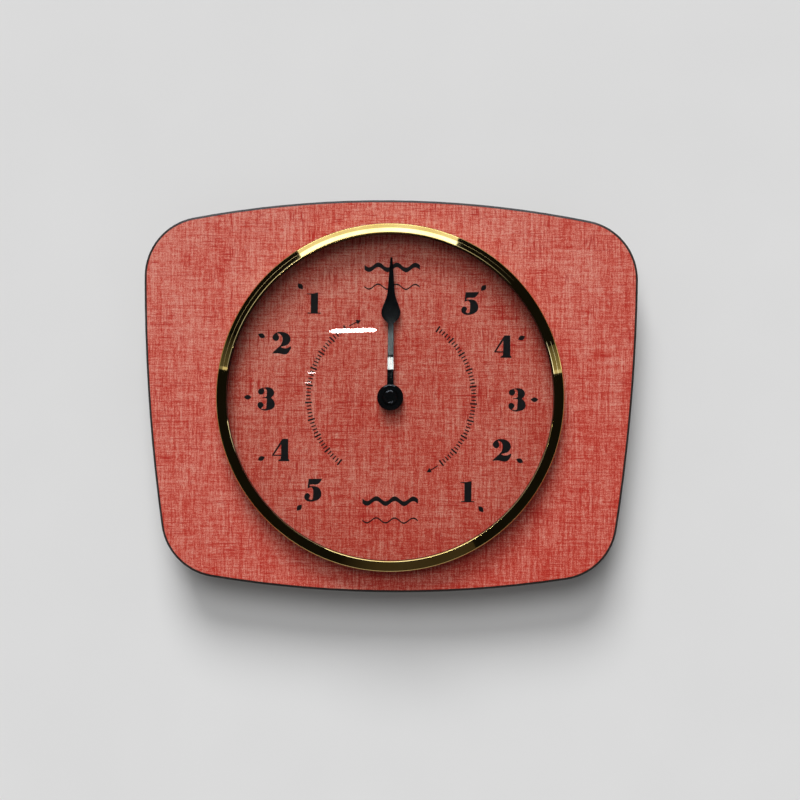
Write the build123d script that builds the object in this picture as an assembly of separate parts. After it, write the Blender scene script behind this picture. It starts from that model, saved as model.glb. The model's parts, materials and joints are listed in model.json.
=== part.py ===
from build123d import *
import math
import os

# Tide clock for a wall, with one hand. Millimetres.
# It is built round the hand's axis, with Y = 0 on the face of the laminate: X to the right,
# Y towards the wall, Z up. Each piece is then moved so that the nail hole is the origin.

# Clearances and cuts that all pieces share
OVERRUN = 1.0
RUNNING_GAP = 0.05
SEAT_GAP = 0.02
LOOSE_GAP = 0.3

# Panel: four wide arcs with rounded corners, heights measured from the hand's axis
PANEL_WIDTH = 240.0
PANEL_RISE = 95.9
PANEL_DROP = 94.8
TOP_ARC_RADIUS = 505.0
BOTTOM_ARC_RADIUS = 548.0
SIDE_ARC_RADIUS = 875.0
WIDEST_HEIGHT = 64.0
PANEL_CORNER_RADIUS = 29.2
LAMINATE_THICKNESS = 1.2
LAMINATE_BEVEL = 1.0
BOARD_THICKNESS = 6.0
BOARD_EDGE_ROUND = 0.8

# Bezel: sheet brass, with an outer and an inner facet, and folded tabs
BEZEL_DIAMETER = 168.0
BEZEL_OPENING = 157.6
BEZEL_HEIGHT = 14.0
BEZEL_SHEET = 0.8
BEZEL_CREASE_SHARE = 0.52
OUTER_FACET_TILT = 36.0
INNER_FACET_TILT = 16.0
TAB_WIDTH = 8.0
TAB_FOLD = 6.0
TAB_BEARINGS = (45, 135)

# Glass and the ring under it
GLASS_THICKNESS = 2.0
GLASS_OVERLAP = 1.2
GLASS_RISE = 8.0
RING_WALL = 1.5
RING_SETBACK = 0.4
RING_FOOT = 1.5

# Bush, nut and washers
BUSH_DIAMETER = 8.0
BUSH_PROUD = 3.6
BUSH_FLANGE_DIAMETER = 13.0
BUSH_FLANGE_THICKNESS = 0.8
FLAT_WASHER_DIAMETER = 12.0
FLAT_WASHER_THICKNESS = 0.5
NUT_ACROSS_FLATS = 11.0
NUT_THICKNESS = 2.5
RUBBER_DIAMETER = 30.0
RUBBER_THICKNESS = 1.0

# Hand, hub and cap
HAND_LENGTH = 67.9
HAND_THICKNESS = 0.6
HAND_EYE_DIAMETER = 11.6
SHAFT_FOOT_WIDTH = 3.3
SHAFT_HEAD_WIDTH = 2.7
BULGE_WIDTH = 9.3
TIP_WIDTH = 1.1
# Outline of the pear, as shares of the hand's length and of half the bulge
PEAR_SHARES = (
    (0.548, 0.60),
    (0.578, 0.92),
    (0.608, 1.00),
    (0.640, 0.90),
    (0.680, 0.67),
    (0.720, 0.47),
    (0.765, 0.36),
)
PEAR_FOOT_SHARE = 0.528
HUB_DIAMETER = 12.7
HUB_FLANGE = 1.6
HUB_EDGE_ROUND = 0.5
HUB_BARREL_DIAMETER = 7.4
HUB_BARREL = 2.0
HUB_BUSH_GAP = 0.5
CAP_DIAMETER = 7.0
CAP_SUNK = 0.8
CAP_PROUD = 0.8
CAP_ROUND = 0.5

# Hanger plate: clamped under the movement and cranked back over it to the wall
HANGER_SHEET = 1.0
HANGER_WIDTH = 24.0
HANGER_FOOT = 12.0
HANGER_ROOM = 1.5
HANGER_BEND = 1.0
HANGER_WALL_GAP = 1.5
HANGER_TOP_MARGIN = 5.0
HANGER_CORNER = 4.0
NAIL_HEIGHT = 44.0
NAIL_HOLE_RADIUS = 4.0
NAIL_SLOT_WIDTH = 3.6
NAIL_SLOT_RISE = 7.0

# Movement case and cover
CASE_HEIGHT = 56.0
CASE_WALL = 1.4
CASE_CORNER = 4.0
COVER_THICKNESS = 1.4
COVER_ROOM = 0.7
LIP_DEPTH = 0.9
LIP_WALL = 0.9
PARTITION = 1.0
TONGUE_WIDTH = 7.0
TONGUE_LENGTH = 6.0
TONGUE_THICKNESS = 0.7
TONGUE_SPREAD = 14.0
CATCH_WIDTH = 3.0
CATCH_LENGTH = 1.6
CATCH_SETBACK = 2.6

# Gears: tooth counts, and the distances between axes that mesh
TIDE_TEETH = 30
MOTION_PINION_TEETH = 10
MOTION_TEETH = 40
CANNON_TEETH = 10
SETTING_TEETH = 16
CENTRE_TEETH = 64
THIRD_PINION_TEETH = 8
THIRD_TEETH = 60
FOURTH_PINION_TEETH = 8
FOURTH_TEETH = 48
FIFTH_PINION_TEETH = 8
FIFTH_TEETH = 40
ROTOR_TEETH = 8
MOTION_DISTANCE = 10.0
THIRD_DISTANCE = 9.5
FIFTH_DISTANCE = 10.2
ROTOR_DISTANCE = 6.5
MOTION_BEARING = 180.0
SETTING_BEARING = 125.0
THIRD_BEARING = 70.0
FIFTH_BEARING = -5.0
ROTOR_BEARING = 20.0
PRESSURE_ANGLE = math.radians(25.0)
TOOTH_SHARE = 0.42
WHEEL_TIP_SHARE = 0.55
WHEEL_ROOT_SHARE = 0.98
PINION_TIP_SHARE = 0.75
PINION_ROOT_SHARE = 0.82
GEAR_THICKNESS = 0.9
LAYER_GAP = 0.5
TIDE_TUBE_DIAMETER = 5.0
CANNON_DIAMETER = 3.0
ARBOR_DIAMETER = 1.0
MOTION_POST_DIAMETER = 1.8
BOSS_DIAMETER = 2.0
PIVOT_DEPTH = 1.0
BRIDGE_THICKNESS = 0.8
BRIDGE_MARGIN = 2.0
POST_DIAMETER = 2.4
PIN_DIAMETER = 1.4
PIN_PROUD = 0.2
BRIDGE_POST_INSET = 4.0
UPPER_POST_REACH = 11.2
UPPER_POST_BEARING = 95.0
LEFT_POST_REACH = 13.2
LEFT_POST_BEARING = 130.0

# Step motor
MAGNET_DIAMETER = 4.4
MAGNET_LENGTH = 1.6
MAGNET_ROOM = 0.4
STATOR_THICKNESS = 1.0
STATOR_HOLE_GAP = 0.5
STATOR_WIDTH = 17.0
STATOR_REACH = 4.9
STATOR_LEG = 3.0
STATOR_DROP = 4.8
STATOR_YOKE = 9.5
CORE_WIDTH = 3.0
CORE_THICKNESS = 0.9
CORE_INSET = 3.2
BOBBIN_WALL = 0.5
BOBBIN_FLANGE = 0.6
WINDING_DEPTH = 1.2
COIL_SCREW_DIAMETER = 1.2
COIL_SCREW_GRIP = 3.0
COIL_HEAD_DIAMETER = 2.4
COIL_HEAD = 0.8

# Circuit board
CIRCUIT_LENGTH = 17.0
CIRCUIT_HEIGHT = 13.5
CIRCUIT_THICKNESS = 1.0
CIRCUIT_INSET = 1.4
CHIP_DIAMETER = 6.0
CHIP_HEIGHT = 1.2
CRYSTAL_DIAMETER = 2.0
CRYSTAL_LENGTH = 6.0
CIRCUIT_POST_SHARE = 0.30

# Battery and contacts
BATTERY_DIAMETER = 14.2
BATTERY_LENGTH = 50.5
BATTERY_EDGE_ROUND = 0.8
BATTERY_NUB_DIAMETER = 5.5
BATTERY_NUB_HEIGHT = 1.3
CONTACT_SHEET = 0.4
CONTACT_INSET = 0.2
CONTACT_WIDTH = 6.0
CONTACT_HEIGHT = 9.0
SPRING_BOW = 1.4
BUS_WIDTH = 1.6
BUS_LAP = 2.0
TAIL_WIDTH = 1.5

# Setting shaft and knob
SETTING_SHAFT_DIAMETER = 3.0
KNOB_DIAMETER = 11.0
KNOB_THICKNESS = 2.7
KNOB_SHAFT_DEPTH = 1.6
KNOB_GROOVES = 24
KNOB_GROOVE_DIAMETER = 0.8
KNOB_WALL_GAP = 3.0

# Wall spacers, their screws and pads
SPACER_SPREAD = 150.0
SPACER_MARGIN = 32.8
SPACER_DIAMETER = 14.0
SPACER_EDGE_ROUND = 0.8
PAD_THICKNESS = 2.0
SCREW_DIAMETER = 3.5
SCREW_BITE = 4.5
SCREW_HEAD_DIAMETER = 7.0
SCREW_HEAD = 2.2


def module_of(distance, teeth, mate_teeth):
    """Tooth module that puts two gears at this distance."""
    return 2 * distance / (teeth + mate_teeth)


def along(start, distance, bearing):
    """Place at a distance and bearing from another, in X and Z."""
    angle = math.radians(bearing)
    return (start[0] + distance * math.cos(angle), start[1] + distance * math.sin(angle))


# Depths from the face of the laminate towards the wall
BOARD_FRONT = LAMINATE_THICKNESS
BOARD_BACK = BOARD_FRONT + BOARD_THICKNESS
HANGER_FRONT = BOARD_BACK + RUBBER_THICKNESS
MOVEMENT_FRONT = HANGER_FRONT + HANGER_SHEET
CASE_FLOOR = MOVEMENT_FRONT + CASE_WALL
FIRST_LAYER = CASE_FLOOR + BUSH_FLANGE_THICKNESS + LOOSE_GAP
LAYER_PITCH = GEAR_THICKNESS + LAYER_GAP
TIDE_LAYER, CANNON_LAYER, CENTRE_LAYER, THIRD_LAYER, FOURTH_LAYER, FIFTH_LAYER = [
    FIRST_LAYER + layer * LAYER_PITCH for layer in range(6)
]
MAGNET_FRONT = FIFTH_LAYER + GEAR_THICKNESS + MAGNET_ROOM
MAGNET_BACK = MAGNET_FRONT + MAGNET_LENGTH
BRIDGE_FRONT = MAGNET_BACK + LAYER_GAP
BRIDGE_BACK = BRIDGE_FRONT + BRIDGE_THICKNESS
CASE_BACK = BRIDGE_BACK + PIN_PROUD + COVER_ROOM
MOVEMENT_BACK = CASE_BACK + COVER_THICKNESS
KNOB_FRONT = MOVEMENT_BACK + LOOSE_GAP
KNOB_BACK = KNOB_FRONT + KNOB_THICKNESS
WALL = KNOB_BACK + KNOB_WALL_GAP
NAIL_DEPTH = WALL - HANGER_WALL_GAP
STATOR_FRONT = MAGNET_FRONT + (MAGNET_LENGTH - STATOR_THICKNESS) / 2
STATOR_BACK = STATOR_FRONT + STATOR_THICKNESS
CORE_FRONT = STATOR_FRONT - CORE_THICKNESS
CIRCUIT_BACK = STATOR_FRONT + CIRCUIT_THICKNESS

# Depths in front of the face
NUT_FRONT = -FLAT_WASHER_THICKNESS - NUT_THICKNESS
HUB_BACK = -BUSH_PROUD - HUB_BUSH_GAP
HAND_FRONT = HUB_BACK - HUB_BARREL
HAND_BACK = HAND_FRONT + HAND_THICKNESS
HUB_FRONT = HAND_FRONT - HUB_FLANGE
CAP_BACK = HUB_FRONT + CAP_SUNK
TIDE_TUBE_FRONT = CAP_BACK + LOOSE_GAP

# Inside of the movement case, in X and Z: it is as wide as the battery with its contacts
BATTERY_ROOM = BATTERY_LENGTH + SPRING_BOW + 2 * (RUNNING_GAP + CONTACT_SHEET + CONTACT_INSET)
INSIDE_REACH = BATTERY_ROOM / 2
CASE_WIDTH = BATTERY_ROOM + 2 * CASE_WALL
INSIDE_HIGH = CASE_HEIGHT / 2 - CASE_WALL
BATTERY_HEIGHT = -INSIDE_HIGH + LOOSE_GAP + BATTERY_DIAMETER / 2
PARTITION_LOW = BATTERY_HEIGHT + BATTERY_DIAMETER / 2 + LOOSE_GAP
PARTITION_HIGH = PARTITION_LOW + PARTITION

# Axes of the train, in X and Z
MOTION_MODULE = module_of(MOTION_DISTANCE, MOTION_TEETH, CANNON_TEETH)
SETTING_DISTANCE = MOTION_MODULE * (MOTION_TEETH + SETTING_TEETH) / 2
HAND_AXIS = (0, 0)
MOTION_AXIS = along(HAND_AXIS, MOTION_DISTANCE, MOTION_BEARING)
SETTING_AXIS = along(MOTION_AXIS, SETTING_DISTANCE, SETTING_BEARING)
THIRD_AXIS = along(HAND_AXIS, THIRD_DISTANCE, THIRD_BEARING)
FIFTH_AXIS = along(HAND_AXIS, FIFTH_DISTANCE, FIFTH_BEARING)
ROTOR_AXIS = along(FIFTH_AXIS, ROTOR_DISTANCE, ROTOR_BEARING)
BRIDGE_POSTS = (
    (INSIDE_REACH - BRIDGE_POST_INSET, PARTITION_HIGH + BRIDGE_POST_INSET),
    along(ROTOR_AXIS, UPPER_POST_REACH, UPPER_POST_BEARING),
    along(HAND_AXIS, LEFT_POST_REACH, LEFT_POST_BEARING),
)

# Places of the motor's coil and of the circuit board
STATOR_RIGHT = ROTOR_AXIS[0] + STATOR_REACH
STATOR_LEFT = STATOR_RIGHT - STATOR_WIDTH
CORE_HIGH = INSIDE_HIGH - CORE_INSET
CORE_LOW = CORE_HIGH - CORE_WIDTH
CORE_MIDDLE = (CORE_HIGH + CORE_LOW) / 2
COIL_SCREWS = (
    (STATOR_LEFT + STATOR_LEG / 2, CORE_MIDDLE),
    (STATOR_RIGHT - STATOR_LEG / 2, CORE_MIDDLE),
)
CONTACT_FACE = INSIDE_REACH - CONTACT_INSET - CONTACT_SHEET
CIRCUIT_LEFT = -CONTACT_FACE
CIRCUIT_HIGH = INSIDE_HIGH - CIRCUIT_INSET
CIRCUIT_CENTRE = (CIRCUIT_LEFT + CIRCUIT_LENGTH / 2, CIRCUIT_HIGH - CIRCUIT_HEIGHT / 2)
CIRCUIT_LOW = CIRCUIT_HIGH - CIRCUIT_HEIGHT
CIRCUIT_POSTS = [
    (
        CIRCUIT_CENTRE[0] + side * CIRCUIT_POST_SHARE * CIRCUIT_LENGTH,
        CIRCUIT_CENTRE[1] + side * CIRCUIT_POST_SHARE * CIRCUIT_HEIGHT,
    )
    for side in (-1, 1)
]

# Places of the battery's ends and of the spacers
BATTERY_RIGHT = CONTACT_FACE - RUNNING_GAP
BATTERY_LEFT = BATTERY_RIGHT - BATTERY_LENGTH
BATTERY_DEPTH = CASE_FLOOR + LOOSE_GAP + BATTERY_DIAMETER / 2
SPACERS = [(side * SPACER_SPREAD / 2, SPACER_MARGIN - PANEL_DROP) for side in (-1, 1)]


def slab(sketch, front, back):
    """Solid of a sketch drawn in X and Z, between two depths."""
    return extrude(Plane.XZ.offset(-back) * sketch, back - front)


def disc(diameter, front, back, place=HAND_AXIS):
    """Round solid along the depth."""
    return slab(Pos(*place) * Circle(diameter / 2), front, back)


def drill(solid, diameter, front, back, place=HAND_AXIS):
    """The solid with a round hole that runs past both depths."""
    return solid - disc(diameter, front - OVERRUN, back + OVERRUN, place)


def block(left, right, front, back, low, high):
    """Box between two places in X, Y and Z."""
    middle = ((left + right) / 2, (low + high) / 2)
    return slab(Pos(*middle) * Rectangle(right - left, high - low), front, back)


def spun(*edges):
    """Solid of a profile in radius and depth, turned round the hand's axis."""
    return revolve(make_face(list(edges)), Axis.Y)


def ring(outer_radius, inner_radius, front, back):
    """Round band between two radii and two depths."""
    return disc(2 * outer_radius, front, back) - disc(
        2 * inner_radius, front - OVERRUN, back + OVERRUN
    )


def front_edges(solid):
    """Edges of the face that is nearest to the viewer."""
    return solid.faces().sort_by(Axis.Y)[0].edges()


def back_edges(solid):
    """Edges of the face that is nearest to the wall."""
    return solid.faces().sort_by(Axis.Y)[-1].edges()


# Panel

def panel_outline():
    """Four wide discs share the panel's outline, and its corners are rounded."""
    side_shift = SIDE_ARC_RADIUS - PANEL_WIDTH / 2
    outline = Pos(0, PANEL_RISE - TOP_ARC_RADIUS) * Circle(TOP_ARC_RADIUS)
    outline &= Pos(0, BOTTOM_ARC_RADIUS - PANEL_DROP) * Circle(BOTTOM_ARC_RADIUS)
    outline &= Pos(side_shift, WIDEST_HEIGHT) * Circle(SIDE_ARC_RADIUS)
    outline &= Pos(-side_shift, WIDEST_HEIGHT) * Circle(SIDE_ARC_RADIUS)
    return fillet(outline.vertices(), PANEL_CORNER_RADIUS)


def tab_bars(width):
    """Two bars across the panel that pick the four tab places out of a ring."""
    reach = BEZEL_DIAMETER + TAB_FOLD
    bars = [
        Rot(0, bearing, 0) * block(-reach, reach, -reach, reach, -width / 2, width / 2)
        for bearing in TAB_BEARINGS
    ]
    return bars[0] + bars[1]


def tab_slots():
    """Slots for the bezel's tabs, through the laminate and the board."""
    outer = BEZEL_DIAMETER / 2 + LOOSE_GAP
    inner = BEZEL_DIAMETER / 2 - BEZEL_SHEET - LOOSE_GAP
    band = ring(outer, inner, -OVERRUN, BOARD_BACK + OVERRUN)
    return band & tab_bars(TAB_WIDTH + 2 * LOOSE_GAP)


def face_laminate():
    sheet = slab(panel_outline(), 0, LAMINATE_THICKNESS)
    sheet = chamfer(front_edges(sheet), LAMINATE_BEVEL)
    sheet = drill(sheet, BUSH_DIAMETER + 2 * LOOSE_GAP, 0, LAMINATE_THICKNESS)
    return sheet - tab_slots()


def backing_board():
    board = slab(panel_outline(), BOARD_FRONT, BOARD_BACK)
    board = fillet(back_edges(board), BOARD_EDGE_ROUND)
    board = drill(board, BUSH_DIAMETER + 2 * LOOSE_GAP, BOARD_FRONT, BOARD_BACK)
    board -= tab_slots()
    for place in SPACERS:
        hole = SCREW_DIAMETER + 2 * SEAT_GAP
        board -= disc(hole, BOARD_BACK - SCREW_BITE - LOOSE_GAP, BOARD_BACK + OVERRUN, place)
    return board


# Bezel, glass and ring

def bezel_front(radius):
    """Depth of the bezel's front facets at a radius."""
    opening = BEZEL_OPENING / 2
    crease = opening + BEZEL_CREASE_SHARE * (BEZEL_DIAMETER / 2 - opening)
    inner_run = min(radius, crease) - opening
    outer_run = max(radius, crease) - crease
    inner_fall = inner_run * math.tan(math.radians(INNER_FACET_TILT))
    outer_fall = outer_run * math.tan(math.radians(OUTER_FACET_TILT))
    return -BEZEL_HEIGHT + inner_fall + outer_fall


def bezel():
    outer = BEZEL_DIAMETER / 2
    wall = outer - BEZEL_SHEET
    opening = BEZEL_OPENING / 2
    crease = opening + BEZEL_CREASE_SHARE * (outer - opening)
    front = [(radius, bezel_front(radius)) for radius in (outer, crease, opening)]
    behind = [(radius, bezel_front(radius) + BEZEL_SHEET) for radius in (opening, crease, wall)]
    shell = spun(Polyline((outer, 0), *front, *behind, (wall, 0), close=True))
    upright = ring(outer, wall, -BEZEL_SHEET, BOARD_BACK + BEZEL_SHEET)
    fold = ring(outer, outer - TAB_FOLD, BOARD_BACK, BOARD_BACK + BEZEL_SHEET)
    return shell + ((upright + fold) & tab_bars(TAB_WIDTH))


GLASS_RADIUS = BEZEL_OPENING / 2 + GLASS_OVERLAP
GLASS_EDGE_FRONT = bezel_front(GLASS_RADIUS) + BEZEL_SHEET + RUNNING_GAP
GLASS_CURVE = (GLASS_RADIUS**2 + GLASS_RISE**2) / (2 * GLASS_RISE)


def glass_front(radius):
    """Depth of the dome's front at a radius."""
    apex = GLASS_EDGE_FRONT - GLASS_RISE
    return apex + GLASS_CURVE - math.sqrt(GLASS_CURVE**2 - radius**2)


def glass():
    radii = (0, GLASS_RADIUS / 2, GLASS_RADIUS)
    front = [(radius, glass_front(radius)) for radius in radii]
    back = [(radius, glass_front(radius) + GLASS_THICKNESS) for radius in radii]
    return spun(
        ThreePointArc(*front),
        Line(front[2], back[2]),
        ThreePointArc(*reversed(back)),
        Line(back[0], front[0]),
    )


def glass_ring():
    inner = BEZEL_OPENING / 2 + RING_SETBACK
    wall = inner + RING_WALL
    foot = BEZEL_DIAMETER / 2 - BEZEL_SHEET - LOOSE_GAP
    top = GLASS_EDGE_FRONT + GLASS_THICKNESS + RUNNING_GAP
    outline = [(inner, 0), (inner, top), (wall, top), (wall, -RING_FOOT), (foot, -RING_FOOT), (foot, 0)]
    return spun(Polyline(*outline, close=True))


# Clamping of the movement

def threaded_bush():
    barrel = disc(BUSH_DIAMETER, -BUSH_PROUD, CASE_FLOOR)
    barrel += disc(BUSH_FLANGE_DIAMETER, CASE_FLOOR, CASE_FLOOR + BUSH_FLANGE_THICKNESS)
    bore = TIDE_TUBE_DIAMETER + 2 * RUNNING_GAP
    return drill(barrel, bore, -BUSH_PROUD, CASE_FLOOR + BUSH_FLANGE_THICKNESS)


def flat_washer():
    washer = disc(FLAT_WASHER_DIAMETER, -FLAT_WASHER_THICKNESS, 0)
    return drill(washer, BUSH_DIAMETER + 2 * SEAT_GAP, -FLAT_WASHER_THICKNESS, 0)


def hex_nut():
    across = RegularPolygon(NUT_ACROSS_FLATS / 2, 6, major_radius=False)
    nut = slab(across, NUT_FRONT, -FLAT_WASHER_THICKNESS)
    return drill(nut, BUSH_DIAMETER + 2 * SEAT_GAP, NUT_FRONT, 0)


def rubber_washer():
    washer = disc(RUBBER_DIAMETER, BOARD_BACK, HANGER_FRONT)
    return drill(washer, BUSH_DIAMETER + 2 * SEAT_GAP, BOARD_BACK, HANGER_FRONT)


def hanger_profile():
    """Side view of the cranked plate, in depth and height, with rounded bends."""
    shelf = CASE_HEIGHT / 2 + HANGER_ROOM + HANGER_SHEET / 2
    leg = HANGER_FRONT + HANGER_SHEET / 2
    tab = NAIL_DEPTH - HANGER_SHEET / 2
    top = NAIL_HEIGHT + NAIL_SLOT_RISE + HANGER_TOP_MARGIN
    outer_bend = HANGER_BEND + HANGER_SHEET
    half = HANGER_SHEET / 2
    near = FilletPolyline(
        (leg - half, -HANGER_FOOT),
        (leg - half, shelf + half),
        (tab - half, shelf + half),
        (tab - half, top),
        radius=[outer_bend, HANGER_BEND],
    )
    far = FilletPolyline(
        (leg + half, -HANGER_FOOT),
        (leg + half, shelf - half),
        (tab + half, shelf - half),
        (tab + half, top),
        radius=[HANGER_BEND, outer_bend],
    )
    return make_face([near, far, Line(near @ 0, far @ 0), Line(near @ 1, far @ 1)])


def hanger_plate():
    plate = extrude(Plane.YZ.offset(-HANGER_WIDTH / 2) * hanger_profile(), HANGER_WIDTH)
    low = -HANGER_FOOT
    high = NAIL_HEIGHT + NAIL_SLOT_RISE + HANGER_TOP_MARGIN
    outline = Pos(0, (low + high) / 2) * RectangleRounded(HANGER_WIDTH, high - low, HANGER_CORNER)
    plate &= slab(outline, HANGER_FRONT - OVERRUN, NAIL_DEPTH + OVERRUN)
    plate = drill(plate, BUSH_DIAMETER + 2 * SEAT_GAP, HANGER_FRONT, MOVEMENT_FRONT)
    keyhole = Pos(0, NAIL_HEIGHT) * Circle(NAIL_HOLE_RADIUS)
    keyhole += Pos(0, NAIL_HEIGHT + NAIL_SLOT_RISE / 2) * Rectangle(NAIL_SLOT_WIDTH, NAIL_SLOT_RISE)
    keyhole += Pos(0, NAIL_HEIGHT + NAIL_SLOT_RISE) * Circle(NAIL_SLOT_WIDTH / 2)
    return plate - slab(keyhole, NAIL_DEPTH - HANGER_SHEET - OVERRUN, NAIL_DEPTH + OVERRUN)


# Hand

def hand_outline():
    """Half of the hand's edge, from the hub up to the tip, and its mirror image."""
    half_bulge = BULGE_WIDTH / 2
    pear = [(half_bulge * wide, HAND_LENGTH * high) for high, wide in PEAR_SHARES]
    foot = (SHAFT_HEAD_WIDTH / 2, PEAR_FOOT_SHARE * HAND_LENGTH)
    tip_low = (TIP_WIDTH / 2, HAND_LENGTH - TIP_WIDTH / 2)
    shaft = Line((SHAFT_FOOT_WIDTH / 2, 0), foot)
    curve = Spline(foot, *pear)
    taper = Line(pear[-1], tip_low)
    cap = RadiusArc(tip_low, (0, HAND_LENGTH), -TIP_WIDTH / 2)
    spine = Line((0, HAND_LENGTH), (0, 0))
    foot_line = Line((0, 0), (SHAFT_FOOT_WIDTH / 2, 0))
    half = make_face([shaft, curve, taper, cap, spine, foot_line])
    return half + mirror(half, Plane.YZ)


def tide_hand():
    outline = hand_outline() + Circle(HAND_EYE_DIAMETER / 2)
    hand = slab(outline, HAND_FRONT, HAND_BACK)
    return drill(hand, HUB_BARREL_DIAMETER + 2 * SEAT_GAP, HAND_FRONT, HAND_BACK)


def hand_hub():
    flange = disc(HUB_DIAMETER, HUB_FRONT, HAND_FRONT)
    flange = fillet(front_edges(flange), HUB_EDGE_ROUND)
    hub = flange + disc(HUB_BARREL_DIAMETER, HAND_FRONT, HUB_BACK)
    hub -= disc(CAP_DIAMETER + 2 * SEAT_GAP, HUB_FRONT - OVERRUN, CAP_BACK)
    return drill(hub, TIDE_TUBE_DIAMETER + 2 * SEAT_GAP, HUB_FRONT, HUB_BACK)


def hub_cap():
    cap = disc(CAP_DIAMETER, HUB_FRONT - CAP_PROUD, CAP_BACK)
    return fillet(front_edges(cap), CAP_ROUND)


# Gears

def half_tooth(teeth, module, radius):
    """Half the angle that an involute tooth takes up at a radius."""
    base = teeth * module / 2 * math.cos(PRESSURE_ANGLE)
    angle = math.acos(min(1, base / radius))
    widening = math.tan(PRESSURE_ANGLE) - PRESSURE_ANGLE
    narrowing = math.tan(angle) - angle
    return TOOTH_SHARE * math.pi / teeth + widening - narrowing


def polar(radius, angle):
    return (radius * math.cos(angle), radius * math.sin(angle))


def gear_face(teeth, module, tip_share, root_share, phase):
    """Face of a gear with one tooth at the phase angle."""
    pitch = teeth * module / 2
    tip = pitch + tip_share * module
    root = pitch - root_share * module
    base = max(root, pitch * math.cos(PRESSURE_ANGLE))
    edges = []
    for tooth in range(teeth):
        centre = phase + 2 * math.pi * tooth / teeth
        radii = (base, (base + tip) / 2, tip)
        halves = [half_tooth(teeth, module, radius) for radius in radii]
        right = [polar(radius, centre - half) for radius, half in zip(radii, halves)]
        left = [polar(radius, centre + half) for radius, half in zip(radii, halves)]
        right_root = polar(root, centre - halves[0])
        left_root = polar(root, centre + halves[0])
        next_root = polar(root, centre + 2 * math.pi / teeth - halves[0])
        if base > root:
            edges += [Line(right_root, right[0]), Line(left[0], left_root)]
        edges += [ThreePointArc(*right), ThreePointArc(*left)]
        edges += [Line(right[2], left[2]), Line(left_root, next_root)]
    return make_face(edges)


def wheel(teeth, module, phase, front, axis):
    """Large gear of one layer."""
    face = gear_face(teeth, module, WHEEL_TIP_SHARE, WHEEL_ROOT_SHARE, phase)
    return slab(Pos(*axis) * face, front, front + GEAR_THICKNESS)


def pinion(teeth, module, phase, front, back, axis):
    """Small gear between two depths."""
    face = gear_face(teeth, module, PINION_TIP_SHARE, PINION_ROOT_SHARE, phase)
    return slab(Pos(*axis) * face, front, back)


def mesh_phase(teeth, phase, axis, mate_teeth, mate_axis):
    """Phase that puts a gap of the mate where this gear's tooth meets the line of centres."""
    line = math.atan2(mate_axis[1] - axis[1], mate_axis[0] - axis[0])
    step = 2 * math.pi / teeth
    past_tooth = ((line - phase) / step) % 1
    return line + math.pi + (past_tooth + 1 / 2) * 2 * math.pi / mate_teeth


# Motion work: cannon, motion wheel and tide wheel

TIDE_MODULE = module_of(MOTION_DISTANCE, TIDE_TEETH, MOTION_PINION_TEETH)
MOTION_PINION_PHASE = mesh_phase(TIDE_TEETH, 0, HAND_AXIS, MOTION_PINION_TEETH, MOTION_AXIS)
CANNON_PHASE = mesh_phase(MOTION_TEETH, 0, MOTION_AXIS, CANNON_TEETH, HAND_AXIS)
SETTING_PHASE = mesh_phase(MOTION_TEETH, 0, MOTION_AXIS, SETTING_TEETH, SETTING_AXIS)


def tide_wheel():
    gear = wheel(TIDE_TEETH, TIDE_MODULE, 0, TIDE_LAYER, HAND_AXIS)
    gear += disc(TIDE_TUBE_DIAMETER, TIDE_TUBE_FRONT, TIDE_LAYER)
    bore = CANNON_DIAMETER + 2 * RUNNING_GAP
    return drill(gear, bore, TIDE_TUBE_FRONT, TIDE_LAYER + GEAR_THICKNESS)


def motion_wheel():
    gear = wheel(MOTION_TEETH, MOTION_MODULE, 0, CANNON_LAYER, MOTION_AXIS)
    gear += pinion(
        MOTION_PINION_TEETH, TIDE_MODULE, MOTION_PINION_PHASE, TIDE_LAYER, CANNON_LAYER, MOTION_AXIS
    )
    bore = MOTION_POST_DIAMETER + 2 * RUNNING_GAP
    return drill(gear, bore, TIDE_LAYER, CANNON_LAYER + GEAR_THICKNESS, MOTION_AXIS)


def cannon_pinion():
    layer_back = CANNON_LAYER + GEAR_THICKNESS
    gear = pinion(CANNON_TEETH, MOTION_MODULE, CANNON_PHASE, CANNON_LAYER, layer_back, HAND_AXIS)
    hub_back = THIRD_LAYER - LOOSE_GAP
    gear += disc(CANNON_DIAMETER, 0, hub_back)
    return drill(gear, ARBOR_DIAMETER + 2 * RUNNING_GAP, 0, hub_back)


def setting_shaft():
    layer_back = CANNON_LAYER + GEAR_THICKNESS
    shaft = pinion(SETTING_TEETH, MOTION_MODULE, SETTING_PHASE, CANNON_LAYER, layer_back, SETTING_AXIS)
    shaft += disc(SETTING_SHAFT_DIAMETER, layer_back, KNOB_FRONT + KNOB_SHAFT_DEPTH, SETTING_AXIS)
    return shaft + disc(ARBOR_DIAMETER, CANNON_LAYER - LOOSE_GAP - PIVOT_DEPTH, CANNON_LAYER, SETTING_AXIS)


def setting_knob():
    knob = disc(KNOB_DIAMETER, KNOB_FRONT, KNOB_BACK, SETTING_AXIS)
    for groove in range(KNOB_GROOVES):
        place = along(SETTING_AXIS, KNOB_DIAMETER / 2, 360 * groove / KNOB_GROOVES)
        knob = drill(knob, KNOB_GROOVE_DIAMETER, KNOB_FRONT, KNOB_BACK, place)
    socket = SETTING_SHAFT_DIAMETER + 2 * SEAT_GAP
    return knob - disc(
        socket, KNOB_FRONT - OVERRUN, KNOB_FRONT + KNOB_SHAFT_DEPTH + SEAT_GAP, SETTING_AXIS
    )


# Train from the step motor to the centre wheel

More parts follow.
